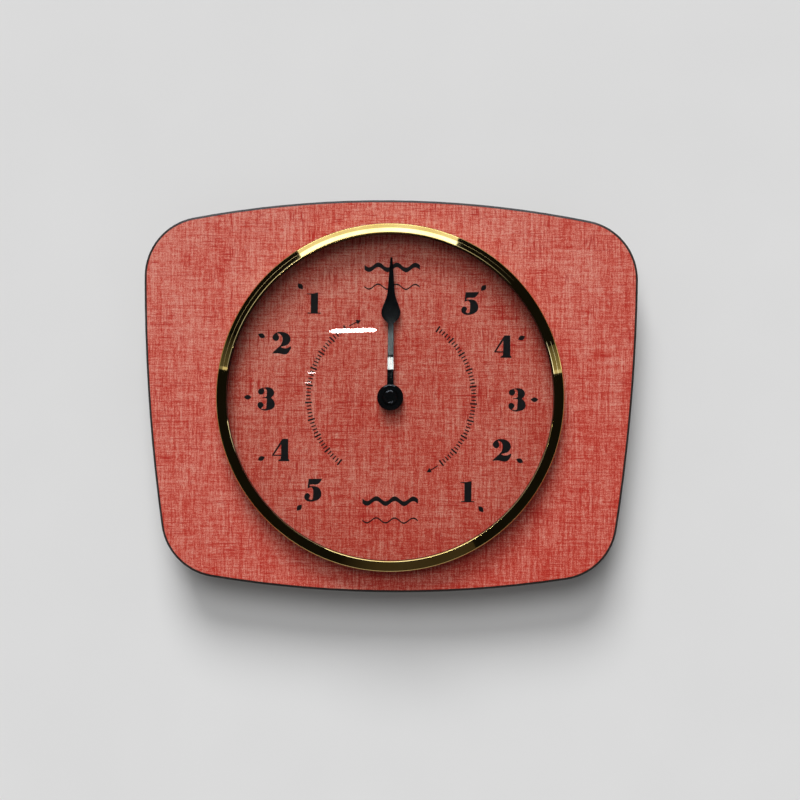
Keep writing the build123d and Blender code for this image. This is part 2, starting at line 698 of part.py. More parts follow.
CENTRE_MODULE = module_of(THIRD_DISTANCE, CENTRE_TEETH, THIRD_PINION_TEETH)
THIRD_MODULE = module_of(THIRD_DISTANCE, THIRD_TEETH, FOURTH_PINION_TEETH)
FOURTH_MODULE = module_of(FIFTH_DISTANCE, FOURTH_TEETH, FIFTH_PINION_TEETH)
FIFTH_MODULE = module_of(ROTOR_DISTANCE, FIFTH_TEETH, ROTOR_TEETH)
THIRD_PHASE = mesh_phase(FOURTH_PINION_TEETH, 0, HAND_AXIS, THIRD_TEETH, THIRD_AXIS)
CENTRE_PHASE = mesh_phase(THIRD_PINION_TEETH, 0, THIRD_AXIS, CENTRE_TEETH, HAND_AXIS)
FIFTH_PINION_PHASE = mesh_phase(FOURTH_TEETH, 0, HAND_AXIS, FIFTH_PINION_TEETH, FIFTH_AXIS)
ROTOR_PHASE = mesh_phase(FIFTH_TEETH, 0, FIFTH_AXIS, ROTOR_TEETH, ROTOR_AXIS)


def arbor(front, axis):
    """Thin shaft that runs back into the bridge."""
    return disc(ARBOR_DIAMETER, front, BRIDGE_BACK, axis)


def centre_wheel():
    gear = wheel(CENTRE_TEETH, CENTRE_MODULE, CENTRE_PHASE, CENTRE_LAYER, HAND_AXIS)
    bore = CANNON_DIAMETER + 2 * RUNNING_GAP
    return drill(gear, bore, CENTRE_LAYER, CENTRE_LAYER + GEAR_THICKNESS)


def third_wheel():
    gear = wheel(THIRD_TEETH, THIRD_MODULE, THIRD_PHASE, THIRD_LAYER, THIRD_AXIS)
    gear += pinion(THIRD_PINION_TEETH, CENTRE_MODULE, 0, CENTRE_LAYER, THIRD_LAYER, THIRD_AXIS)
    return gear + arbor(CENTRE_LAYER - LOOSE_GAP - PIVOT_DEPTH, THIRD_AXIS)


def fourth_wheel():
    gear = wheel(FOURTH_TEETH, FOURTH_MODULE, 0, FOURTH_LAYER, HAND_AXIS)
    gear += pinion(FOURTH_PINION_TEETH, THIRD_MODULE, 0, THIRD_LAYER, FOURTH_LAYER, HAND_AXIS)
    return gear + arbor(CANNON_LAYER, HAND_AXIS)


def fifth_wheel():
    gear = wheel(FIFTH_TEETH, FIFTH_MODULE, 0, FIFTH_LAYER, FIFTH_AXIS)
    gear += pinion(
        FIFTH_PINION_TEETH, FOURTH_MODULE, FIFTH_PINION_PHASE, FOURTH_LAYER, FIFTH_LAYER, FIFTH_AXIS
    )
    return gear + arbor(FOURTH_LAYER - LOOSE_GAP - PIVOT_DEPTH, FIFTH_AXIS)


def rotor():
    gear = pinion(ROTOR_TEETH, FIFTH_MODULE, ROTOR_PHASE, FIFTH_LAYER, MAGNET_FRONT, ROTOR_AXIS)
    return gear + arbor(FIFTH_LAYER - LOOSE_GAP - PIVOT_DEPTH, ROTOR_AXIS)


def rotor_magnet():
    magnet = disc(MAGNET_DIAMETER, MAGNET_FRONT, MAGNET_BACK, ROTOR_AXIS)
    return drill(magnet, ARBOR_DIAMETER + 2 * SEAT_GAP, MAGNET_FRONT, MAGNET_BACK, ROTOR_AXIS)


def train_bridge():
    """Plate that carries the back pivots, as the hull of its posts and pivots."""
    pivots = (HAND_AXIS, THIRD_AXIS, FIFTH_AXIS, ROTOR_AXIS)
    rounds = [Pos(*place) * Circle(BRIDGE_MARGIN) for place in pivots + BRIDGE_POSTS]
    outline = make_hull([edge for shape in rounds for edge in shape.edges()])
    plate = slab(outline, BRIDGE_FRONT, BRIDGE_BACK)
    for place in pivots:
        plate = drill(plate, ARBOR_DIAMETER + 2 * RUNNING_GAP, BRIDGE_FRONT, BRIDGE_BACK, place)
    for place in BRIDGE_POSTS:
        plate = drill(plate, PIN_DIAMETER + 2 * SEAT_GAP, BRIDGE_FRONT, BRIDGE_BACK, place)
    return plate


# Movement case and cover

def post_with_pin(place, front, back):
    """Post from the case floor, with a pin that goes through a plate."""
    return disc(POST_DIAMETER, CASE_FLOOR, front, place) + disc(PIN_DIAMETER, front, back + PIN_PROUD, place)


def boss(place, layer):
    """Boss from the case floor that carries a front pivot below a layer."""
    top = layer - LOOSE_GAP
    stand = disc(BOSS_DIAMETER, CASE_FLOOR, top, place)
    pivot = ARBOR_DIAMETER + 2 * RUNNING_GAP
    return stand - disc(pivot, top - PIVOT_DEPTH - LOOSE_GAP, top + OVERRUN, place)


def tongue_places():
    """Sides and heights of the cover's four snap tongues."""
    return [(side, height) for side in (-1, 1) for height in (-TONGUE_SPREAD, TONGUE_SPREAD)]


def at_side(side, inner, outer, front, back, middle, width):
    """Box at one side of the case, between two distances from the hand's axis."""
    left, right = sorted((side * inner, side * outer))
    return block(left, right, front, back, middle - width / 2, middle + width / 2)


def movement_case():
    half = CASE_WIDTH / 2
    shell = slab(RectangleRounded(CASE_WIDTH, CASE_HEIGHT, CASE_CORNER), MOVEMENT_FRONT, CASE_BACK)
    hollow = RectangleRounded(2 * INSIDE_REACH, 2 * INSIDE_HIGH, CASE_CORNER - CASE_WALL)
    shell -= slab(hollow, CASE_FLOOR, CASE_BACK + OVERRUN)
    shell += block(-INSIDE_REACH, INSIDE_REACH, CASE_FLOOR, CASE_BACK, PARTITION_LOW, PARTITION_HIGH)
    for side in (-1, 1):
        notch = CONTACT_INSET + CONTACT_SHEET + LOOSE_GAP
        shell -= at_side(
            side, INSIDE_REACH - notch, INSIDE_REACH,
            STATOR_FRONT - TAIL_WIDTH - LOOSE_GAP, CASE_BACK + OVERRUN,
            (PARTITION_LOW + PARTITION_HIGH) / 2, PARTITION + 2 * SEAT_GAP,
        )
    shell = drill(shell, BUSH_DIAMETER + 2 * SEAT_GAP, MOVEMENT_FRONT, CASE_FLOOR)
    shell += boss(THIRD_AXIS, CENTRE_LAYER)
    shell += boss(FIFTH_AXIS, FOURTH_LAYER)
    shell += boss(ROTOR_AXIS, FIFTH_LAYER)
    shell += boss(SETTING_AXIS, CANNON_LAYER)
    shell += disc(MOTION_POST_DIAMETER, CASE_FLOOR, CANNON_LAYER + GEAR_THICKNESS, MOTION_AXIS)
    for place in BRIDGE_POSTS:
        shell += post_with_pin(place, BRIDGE_FRONT, BRIDGE_BACK)
    for place in CIRCUIT_POSTS:
        shell += post_with_pin(place, STATOR_FRONT, CIRCUIT_BACK)
    for place in COIL_SCREWS:
        shell += disc(POST_DIAMETER, CASE_FLOOR, CORE_FRONT, place)
        shell -= disc(
            COIL_SCREW_DIAMETER + 2 * SEAT_GAP, CORE_FRONT - COIL_SCREW_GRIP - LOOSE_GAP,
            CORE_FRONT + OVERRUN, place,
        )
    for side, height in tongue_places():
        recess = half - TONGUE_THICKNESS - SEAT_GAP
        shell -= at_side(
            side, recess, half + OVERRUN, CASE_BACK - TONGUE_LENGTH - LOOSE_GAP, CASE_BACK + OVERRUN,
            height, TONGUE_WIDTH + 2 * LOOSE_GAP,
        )
        catch_back = CASE_BACK - CATCH_SETBACK
        shell += at_side(side, recess, half, catch_back - CATCH_LENGTH, catch_back, height, CATCH_WIDTH)
    return shell


def movement_cover():
    half = CASE_WIDTH / 2
    cover = slab(RectangleRounded(CASE_WIDTH, CASE_HEIGHT, CASE_CORNER), CASE_BACK, MOVEMENT_BACK)
    lip_side = INSIDE_REACH - LOOSE_GAP
    lip_high = INSIDE_HIGH - LOOSE_GAP
    lip_low = PARTITION_HIGH + LOOSE_GAP
    lip_front = CASE_BACK - LIP_DEPTH
    lip = block(-lip_side, lip_side, lip_front, CASE_BACK, lip_low, lip_high)
    lip -= block(
        -lip_side + LIP_WALL, lip_side - LIP_WALL, lip_front - OVERRUN, CASE_BACK + OVERRUN,
        lip_low + LIP_WALL, lip_high - LIP_WALL,
    )
    corner = CASE_CORNER - CASE_WALL
    lip &= slab(RectangleRounded(2 * lip_side, 2 * lip_high, corner), lip_front, CASE_BACK)
    cover += lip
    cover -= block(
        -INSIDE_REACH, INSIDE_REACH, CASE_BACK - OVERRUN, MOVEMENT_BACK + OVERRUN,
        -INSIDE_HIGH, PARTITION_LOW,
    )
    for side, height in tongue_places():
        tongue = at_side(
            side, half - TONGUE_THICKNESS, half, CASE_BACK - TONGUE_LENGTH, CASE_BACK, height, TONGUE_WIDTH
        )
        catch_back = CASE_BACK - CATCH_SETBACK
        tongue -= at_side(
            side, half - TONGUE_THICKNESS - OVERRUN, half + OVERRUN,
            catch_back - CATCH_LENGTH - LOOSE_GAP, catch_back + LOOSE_GAP,
            height, CATCH_WIDTH + 2 * LOOSE_GAP,
        )
        cover += tongue
    shaft_hole = SETTING_SHAFT_DIAMETER + 2 * RUNNING_GAP
    return drill(cover, shaft_hole, CASE_BACK, MOVEMENT_BACK, SETTING_AXIS)


# Step motor

def stator():
    """Yoke round the rotor with two legs that reach up to the coil's core."""
    low = ROTOR_AXIS[1] - STATOR_DROP
    plate = block(STATOR_LEFT, STATOR_RIGHT, STATOR_FRONT, STATOR_BACK, low, CORE_HIGH)
    plate -= block(
        STATOR_LEFT + STATOR_LEG, STATOR_RIGHT - STATOR_LEG, STATOR_FRONT - OVERRUN,
        STATOR_BACK + OVERRUN, low + STATOR_YOKE, CORE_HIGH + OVERRUN,
    )
    hole = MAGNET_DIAMETER + 2 * STATOR_HOLE_GAP
    plate = drill(plate, hole, STATOR_FRONT, STATOR_BACK, ROTOR_AXIS)
    plate = drill(plate, BOSS_DIAMETER, STATOR_FRONT, STATOR_BACK, FIFTH_AXIS)
    for place in COIL_SCREWS:
        plate = drill(plate, COIL_SCREW_DIAMETER + 2 * SEAT_GAP, STATOR_FRONT, STATOR_BACK, place)
    return plate


def coil_core():
    core = block(STATOR_LEFT, STATOR_RIGHT, CORE_FRONT, STATOR_FRONT, CORE_LOW, CORE_HIGH)
    for place in COIL_SCREWS:
        core = drill(core, COIL_SCREW_DIAMETER + 2 * SEAT_GAP, CORE_FRONT, STATOR_FRONT, place)
    return core


BOBBIN_LEFT = STATOR_LEFT + STATOR_LEG + LOOSE_GAP
BOBBIN_RIGHT = STATOR_RIGHT - STATOR_LEG - LOOSE_GAP


def round_core(left, right, grow):
    """Block that surrounds the coil's core by a margin."""
    return block(
        left, right, CORE_FRONT - grow, STATOR_FRONT + grow, CORE_LOW - grow, CORE_HIGH + grow
    )


def coil_bobbin():
    wound = SEAT_GAP + BOBBIN_WALL
    full = wound + WINDING_DEPTH
    bobbin = round_core(BOBBIN_LEFT, BOBBIN_RIGHT, wound)
    bobbin += round_core(BOBBIN_LEFT, BOBBIN_LEFT + BOBBIN_FLANGE, full)
    bobbin += round_core(BOBBIN_RIGHT - BOBBIN_FLANGE, BOBBIN_RIGHT, full)
    return bobbin - round_core(BOBBIN_LEFT - OVERRUN, BOBBIN_RIGHT + OVERRUN, SEAT_GAP)


def coil_winding():
    inner = SEAT_GAP + BOBBIN_WALL + SEAT_GAP
    left = BOBBIN_LEFT + BOBBIN_FLANGE + SEAT_GAP
    right = BOBBIN_RIGHT - BOBBIN_FLANGE - SEAT_GAP
    winding = round_core(left, right, inner + WINDING_DEPTH - 2 * SEAT_GAP)
    return winding - round_core(left - OVERRUN, right + OVERRUN, inner)


def coil_screws():
    screws = []
    for place in COIL_SCREWS:
        shank = disc(COIL_SCREW_DIAMETER, CORE_FRONT - COIL_SCREW_GRIP, STATOR_BACK, place)
        screws.append(shank + disc(COIL_HEAD_DIAMETER, STATOR_BACK, STATOR_BACK + COIL_HEAD, place))
    return Compound(children=screws)


# Circuit board

def circuit_board():
    board = block(
        CIRCUIT_LEFT, CIRCUIT_LEFT + CIRCUIT_LENGTH, STATOR_FRONT, CIRCUIT_BACK, CIRCUIT_LOW, CIRCUIT_HIGH
    )
    for place in CIRCUIT_POSTS:
        board = drill(board, PIN_DIAMETER + 2 * SEAT_GAP, STATOR_FRONT, CIRCUIT_BACK, place)
    return board


def circuit_chip():
    chip = disc(CHIP_DIAMETER, CIRCUIT_BACK, CIRCUIT_BACK + CHIP_HEIGHT, CIRCUIT_CENTRE)
    return fillet(back_edges(chip), CHIP_HEIGHT / 2)


def quartz_crystal():
    """Small can that lies on the board above the chip."""
    radius = CRYSTAL_DIAMETER / 2
    height = CIRCUIT_CENTRE[1] + CHIP_DIAMETER / 2 + CRYSTAL_DIAMETER
    can = Cylinder(radius, CRYSTAL_LENGTH, rotation=(0, 90, 0))
    return Pos(CIRCUIT_CENTRE[0] - CRYSTAL_DIAMETER, CIRCUIT_BACK + radius, height) * can


# Battery and contacts

def battery():
    body_length = BATTERY_LENGTH - BATTERY_NUB_HEIGHT
    can = Cylinder(BATTERY_DIAMETER / 2, body_length, rotation=(0, 90, 0))
    can = fillet(can.edges().filter_by(GeomType.CIRCLE), BATTERY_EDGE_ROUND)
    nub = Cylinder(BATTERY_NUB_DIAMETER / 2, 2 * BATTERY_NUB_HEIGHT, rotation=(0, 90, 0))
    whole = can + Pos(body_length / 2, 0, 0) * nub
    return Pos(BATTERY_LEFT + body_length / 2, BATTERY_DEPTH, BATTERY_HEIGHT) * whole


def contact_plate(side):
    """Upright strip at one end of the battery."""
    front = BATTERY_DEPTH - CONTACT_WIDTH / 2
    return at_side(
        side, CONTACT_FACE, CONTACT_FACE + CONTACT_SHEET, front, front + CONTACT_WIDTH,
        BATTERY_HEIGHT, CONTACT_HEIGHT,
    )


def contact_tail(side, high):
    """Narrow strip that carries a contact up past the partition."""
    low = BATTERY_HEIGHT
    middle = (low + high) / 2
    return at_side(
        side, CONTACT_FACE, CONTACT_FACE + CONTACT_SHEET, STATOR_FRONT - TAIL_WIDTH, STATOR_FRONT,
        middle, high - low,
    ) + at_side(
        side, CONTACT_FACE, CONTACT_FACE + CONTACT_SHEET, BATTERY_DEPTH, STATOR_FRONT, low, BUS_WIDTH
    )


def positive_contact():
    """Flat end plate, with a strip that runs over the partition to the circuit board."""
    bus_low = PARTITION_HIGH + LOOSE_GAP
    bus_high = bus_low + BUS_WIDTH
    bus_left = CIRCUIT_LEFT + CONTACT_SHEET
    bus_back = CIRCUIT_BACK + CONTACT_SHEET
    strip = contact_plate(1) + contact_tail(1, bus_high)
    edge = CONTACT_FACE + CONTACT_SHEET
    strip += block(CONTACT_FACE, edge, STATOR_FRONT - TAIL_WIDTH, bus_back, bus_low, bus_high)
    strip += block(bus_left, edge, CIRCUIT_BACK, bus_back, bus_low, bus_high)
    return strip + block(
        bus_left, bus_left + BUS_WIDTH, CIRCUIT_BACK, bus_back, bus_low, CIRCUIT_LOW + BUS_LAP
    )


def negative_contact():
    """End plate with a sprung leaf that bows towards the battery."""
    strip = contact_plate(-1) + contact_tail(-1, CIRCUIT_LOW + BUS_LAP)
    reach = CONTACT_HEIGHT / 2
    bow = BATTERY_LEFT - RUNNING_GAP
    face = -CONTACT_FACE
    ends = [(face, BATTERY_HEIGHT - reach), (bow, BATTERY_HEIGHT), (face, BATTERY_HEIGHT + reach)]
    inner = [(x - CONTACT_SHEET, z) for x, z in ends]
    leaf = make_face(
        [ThreePointArc(*ends), Line(ends[2], inner[2]), ThreePointArc(*inner), Line(inner[0], ends[0])]
    )
    front = BATTERY_DEPTH - CONTACT_WIDTH / 2
    return strip + slab(leaf, front, front + CONTACT_WIDTH)


# Wall spacers

def wall_spacers():
    pads_front = WALL - PAD_THICKNESS
    spacers = []
    for place in SPACERS:
        post = disc(SPACER_DIAMETER, BOARD_BACK, pads_front, place)
        post = fillet(back_edges(post), SPACER_EDGE_ROUND)
        post = drill(post, SCREW_DIAMETER + 2 * SEAT_GAP, BOARD_BACK, pads_front, place)
        spacers.append(post - screw_head(place, SEAT_GAP, OVERRUN))
    return Compound(children=spacers)


def screw_head(place, grow, proud):
    """Countersunk head, with a rim that runs on behind it."""
    back = WALL - PAD_THICKNESS - LOOSE_GAP
    head = SCREW_HEAD_DIAMETER / 2 + grow
    shank = SCREW_DIAMETER / 2 + grow
    profile = Polyline(
        (0, back - SCREW_HEAD), (shank, back - SCREW_HEAD), (head, back), (head, back + proud),
        (0, back + proud), close=True,
    )
    return Pos(place[0], 0, place[1]) * spun(profile)


def spacer_screws():
    screws = []
    for place in SPACERS:
        shank_back = WALL - PAD_THICKNESS - LOOSE_GAP - SCREW_HEAD
        shank = disc(SCREW_DIAMETER, BOARD_BACK - SCREW_BITE, shank_back, place)
        screws.append(shank + screw_head(place, 0, SEAT_GAP))
    return Compound(children=screws)


def spacer_pads():
    pads = [disc(SPACER_DIAMETER, WALL - PAD_THICKNESS, WALL, place) for place in SPACERS]
    pads = [fillet(back_edges(pad), SPACER_EDGE_ROUND) for pad in pads]
    return Compound(children=pads)


PIECES = (
    face_laminate,
    backing_board,
    bezel,
    glass,
    glass_ring,
    tide_hand,
    hand_hub,
    hub_cap,
    threaded_bush,
    flat_washer,
    hex_nut,
    rubber_washer,
    hanger_plate,
    movement_case,
    movement_cover,
    train_bridge,
    tide_wheel,
    motion_wheel,
    cannon_pinion,
    setting_shaft,
    setting_knob,
    centre_wheel,
    third_wheel,
    fourth_wheel,
    fifth_wheel,
    rotor,
    rotor_magnet,
    stator,
    coil_core,
    coil_bobbin,
    coil_winding,
    coil_screws,
    circuit_board,
    circuit_chip,
    quartz_crystal,
    battery,
    positive_contact,
    negative_contact,
    wall_spacers,
    spacer_screws,
    spacer_pads,
)


def main():
    os.makedirs("parts", exist_ok=True)
    to_nail_hole = Pos(0, -NAIL_DEPTH, -NAIL_HEIGHT)
    for piece in PIECES:
        export_step(to_nail_hole * piece(), f"parts/{piece.__name__}.step")
        print("wrote", piece.__name__)


if __name__ == "__main__":
    main()
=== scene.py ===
# %% [markdown]
# # A tide clock for the wall
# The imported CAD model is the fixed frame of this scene, with every piece of the clock in its place, in
# metres. This lesson dresses it: finer meshes for the pieces that are seen, a finish of shader nodes for
# every piece, and a wall, lamps and a camera.

# %% Load the frame
import json
import math

import bmesh
import bpy
from mathutils import Matrix, Vector


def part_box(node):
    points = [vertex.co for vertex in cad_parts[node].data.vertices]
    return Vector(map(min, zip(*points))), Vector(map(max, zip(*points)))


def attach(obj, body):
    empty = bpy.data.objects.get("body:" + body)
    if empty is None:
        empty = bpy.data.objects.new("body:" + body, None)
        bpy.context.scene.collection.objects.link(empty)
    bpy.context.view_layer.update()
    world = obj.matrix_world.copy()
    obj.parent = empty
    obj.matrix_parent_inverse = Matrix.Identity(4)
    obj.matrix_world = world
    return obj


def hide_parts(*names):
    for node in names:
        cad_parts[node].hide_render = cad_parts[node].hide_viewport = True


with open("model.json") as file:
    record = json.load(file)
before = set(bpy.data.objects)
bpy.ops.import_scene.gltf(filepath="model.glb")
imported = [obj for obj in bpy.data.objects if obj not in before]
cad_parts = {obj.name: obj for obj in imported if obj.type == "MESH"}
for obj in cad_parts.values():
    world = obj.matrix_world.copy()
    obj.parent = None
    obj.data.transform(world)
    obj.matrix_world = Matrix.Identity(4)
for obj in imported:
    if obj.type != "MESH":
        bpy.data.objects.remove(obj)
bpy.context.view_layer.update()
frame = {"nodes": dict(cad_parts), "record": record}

scene = bpy.context.scene

# %% [markdown]
# ## Where things are
# X runs to the right, Y to the wall and Z up, and the origin is the nail that carries the clock. Most pieces
# start from the front of the laminate and the axis of the dial. Both are read from the frame, so the
# dressing follows it.

# %% The laminate's face and the dial's axis
MM = 0.001
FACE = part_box("face_laminate")[0].y
bezel_low, bezel_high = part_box("bezel")
DIAL = Vector(((bezel_low.x + bezel_high.x) / 2, FACE, (bezel_low.z + bezel_high.z) / 2))
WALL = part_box("spacer_pads")[1].y
print("face at", FACE, "dial axis", tuple(DIAL), "wall at", WALL)

# %% [markdown]
# ## Finishes from nodes
# A finish is a small tree of shader nodes. Noise on Object coordinates drifts its colour and roughness, and
# a fine grain feeds a Bump node. Object coordinates are metres, so every pattern has a real size.

# %% Colours and empty materials
def paint(red, green, blue):
    """A colour in a picture editor's 0 to 255, as Blender's linear values."""
    shares = [value / 255 for value in (red, green, blue)]
    return [s / 12.92 if s <= 0.04045 else ((s + 0.055) / 1.055) ** 2.4 for s in shares] + [1.0]


def start_finish(name):
    """A new material with its node tree and its Principled shader."""
    material = bpy.data.materials.new(name)
    material.use_nodes = True
    return material, material.node_tree, material.node_tree.nodes["Principled BSDF"]


print("mid grey", paint(128, 128, 128)[0])

# %% Nodes, places and noise
NOISE_LOW, NOISE_HIGH = 0.3, 0.7  # noise hardly ever leaves this range


def plug(tree, socket, value):
    """Links another node's output to a socket, or sets the socket to a plain value."""
    if isinstance(value, bpy.types.NodeSocket):
        tree.links.new(value, socket)
    else:
        socket.default_value = value


def add(tree, kind, inputs=(), **settings):
    """A new node with some settings. Its inputs, by name or number, get outputs or plain values."""
    node = tree.nodes.new("ShaderNode" + kind)
    for name, value in settings.items():
        setattr(node, name, value)
    for name, value in dict(inputs).items():
        plug(tree, node.inputs[name], value)
    return node


def object_place(tree):
    """The Object coordinates of the surface, in metres."""
    return add(tree, "TexCoord").outputs["Object"]


def place_along(tree, axis):
    """One of the Object coordinates, by its letter."""
    return add(tree, "SeparateXYZ", {"Vector": object_place(tree)}).outputs[axis]


def scaled_place(tree, scale, shift=0.0):
    """The Object coordinates times a scale for each of X, Y and Z, and shifted."""
    inputs = {"Scale": scale, "Location": (shift, shift, shift), "Vector": object_place(tree)}
    return add(tree, "Mapping", inputs).outputs["Vector"]


def noise(tree, size, detail=2.0, shift=0.0):
    """Noise whose lumps are about size mm: one number, or one for each of X, Y and Z."""
    sizes = size if isinstance(size, tuple) else (size, size, size)
    place = scaled_place(tree, [1 / (s * MM) for s in sizes], shift)
    return add(tree, "TexNoise", {"Scale": 1.0, "Detail": detail, "Vector": place}).outputs[0]


print("noise stays between", NOISE_LOW, "and", NOISE_HIGH)

# %% Ramps, sums and blends
MIX_FIRST, MIX_SECOND, MIX_RESULT = 6, 7, 2  # where a Mix node has its colours


def ramp(tree, factor, *stops):
    """A colour ramp along factor. Each stop is a place from 0 to 1 and a colour."""
    node = add(tree, "ValToRGB", {"Fac": factor})
    elements = node.color_ramp.elements
    while len(elements) < len(stops):
        elements.new(1.0)
    for element, (place, colour) in zip(elements, stops):
        element.position = place
        element.color = colour
    return node.outputs["Color"]


def remap(tree, value, start, end, low=0.0, high=1.0):
    """A value that runs from start to end, made to run from low to high."""
    inputs = {"Value": value, "From Min": start, "From Max": end, "To Min": low, "To Max": high}
    return add(tree, "MapRange", inputs).outputs["Result"]


def spread(tree, factor, low, high):
    """Noise, which stays near its middle, spread out over low to high."""
    return remap(tree, factor, NOISE_LOW, NOISE_HIGH, low, high)


def weighted(tree, threads):
    """A half, plus each noise's distance from a half times its weight."""
    total = 0.5 - 0.5 * sum(weight for _, weight in threads)
    for factor, weight in threads:
        inputs = {0: factor, 1: weight, 2: total}
        total = add(tree, "Math", inputs, operation="MULTIPLY_ADD").outputs[0]
    return total


def blend(tree, factor, first, second):
    """The first colour where factor is 0, the second where it is 1."""
    inputs = {0: factor, MIX_FIRST: first, MIX_SECOND: second}
    return add(tree, "Mix", inputs, data_type="RGBA").outputs[MIX_RESULT]


print("a Mix node has its colours at", MIX_FIRST, MIX_SECOND, "and", MIX_RESULT)

# %% What a shader is fed with
def feed(tree, shader, colour, gloss, metallic=0.0):
    """Feeds a colour and a roughness to a shader, and says how far it is a metal."""
    for name, value in (("Base Color", colour), ("Roughness", gloss), ("Metallic", metallic)):
        plug(tree, shader.inputs[name], value)


def lift(tree, shader, height, distance, strength=1.0):
    """Feeds a height to the shader's normal. A full step of it stands for a distance in mm."""
    bump = add(tree, "Bump", {"Distance": distance * MM, "Strength": strength, "Height": height})
    plug(tree, shader.inputs["Normal"], bump.outputs["Normal"])


def set_surface(tree, shader):
    """Makes a shader the surface of its material."""
    plug(tree, tree.nodes["Material Output"].inputs["Surface"], shader.outputs[0])


def mix_surface(tree, factor, first, second):
    """Makes the surface the first shader where factor is 0 and the second where it is 1."""
    set_surface(tree, add(tree, "MixShader", {0: factor, 1: first.outputs[0], 2: second.outputs[0]}))


print("materials so far", len(bpy.data.materials))

# %% [markdown]
# ## The red linen laminate
# The face is a thin laminate printed like coarse linen: long upright threads, shorter level ones, a few
# thick dark slubs and broad lighter clouds. Noise that is stretched far along one axis looks like threads
# and has no seams. The threads are added up with weights, together with painted light: a drift that makes
# the face lighter towards the top and the left, where the light falls more strongly. A ramp turns the sum
# into reds. The surface is satin, with a faint relief that follows the print.

# %% Linen print
THREADS = (
    # lump in mm along X, Y and Z; shift; weight
    ((0.45, 9, 3.5), 0.0, 0.60),
    ((0.85, 9, 26), 3.0, 0.55),
    ((3.0, 9, 0.45), 7.0, 0.50),
    ((20, 9, 0.75), 11.0, 0.42),
)
SLUBS = (
    # lump in mm along X, Y and Z; size in mm of the patches that have slubs; shift
    ((0.7, 9, 9), 10.0, 17.0),
    ((9, 9, 0.6), 12.0, 23.0),
    ((26, 9, 0.5), 20.0, 31.0),
)


def linen_laminate():
    material, tree, shader = start_finish("linen_laminate")
    low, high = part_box("face_laminate")
    weave_and_painted_light = weighted(tree, [(noise(tree, size, 2.0, shift), weight) for size, shift, weight in THREADS] + [
        (noise(tree, 0.40, 1.0, 2.0), 0.85),
        (noise(tree, 24.0, 2.0, 5.0), 0.20),
        # painted light: these two make the face lighter towards the top and the left, where the light falls
        # more strongly
        (remap(tree, place_along(tree, "Z"), low.z, high.z), 0.12),
        (remap(tree, place_along(tree, "X"), high.x, low.x), 0.06),
    ])
    reds = ramp(
        tree, weave_and_painted_light,
        (0.212, paint(180, 44, 34)), (0.392, paint(195, 74, 60)), (0.512, paint(206, 102, 87)),
        (0.632, paint(214, 127, 111)), (0.812, paint(223, 153, 137)),
    )
    for size, patch, shift in SLUBS:
        patches = noise(tree, patch, 1.0, shift / 2)
        slubs = weighted(tree, [(noise(tree, size, 2.0, shift), 1.0), (patches, 0.5)])
        thick = ramp(tree, slubs, (0.64, [0, 0, 0, 1]), (0.76, [0.9, 0.9, 0.9, 1]))
        reds = blend(tree, thick, reds, paint(176, 38, 30))
    feed(tree, shader, reds, spread(tree, weave_and_painted_light, 0.38, 0.52))
    shader.inputs["Specular IOR Level"].default_value = 0.25
    lift(tree, shader, weave_and_painted_light, 0.03, 0.5)
    return material


LINEN = linen_laminate()
print(LINEN.name, len(LINEN.node_tree.nodes), "nodes")

# %% [markdown]
# ## Plain moulded, plated and painted finishes
# Most other pieces are one material all over: black plastic, plated steel, rubber, acetal. Real surfaces
# still drift in colour and gloss and have a grain from the mould or the press. One function makes them all
# from a table.

# %% One recipe for plain finishes
def mottled(name, dark, light, blotch, rough, metallic, grain, relief):
    """Colour and gloss drift in blotches of a size in mm, over a grain with a size and a relief in mm."""
    material, tree, shader = start_finish(name)
    drift = weighted(tree, [(noise(tree, blotch, 3.0), 1.0), (noise(tree, grain, 2.0, 5.0), 0.5)])
    colour = ramp(tree, drift, (0.32, paint(*dark)), (0.68, paint(*light)))
    feed(tree, shader, colour, spread(tree, drift, *rough), metallic)
    lift(tree, shader, noise(tree, grain, 2.0, 8.0), relief, 0.6)
    return material


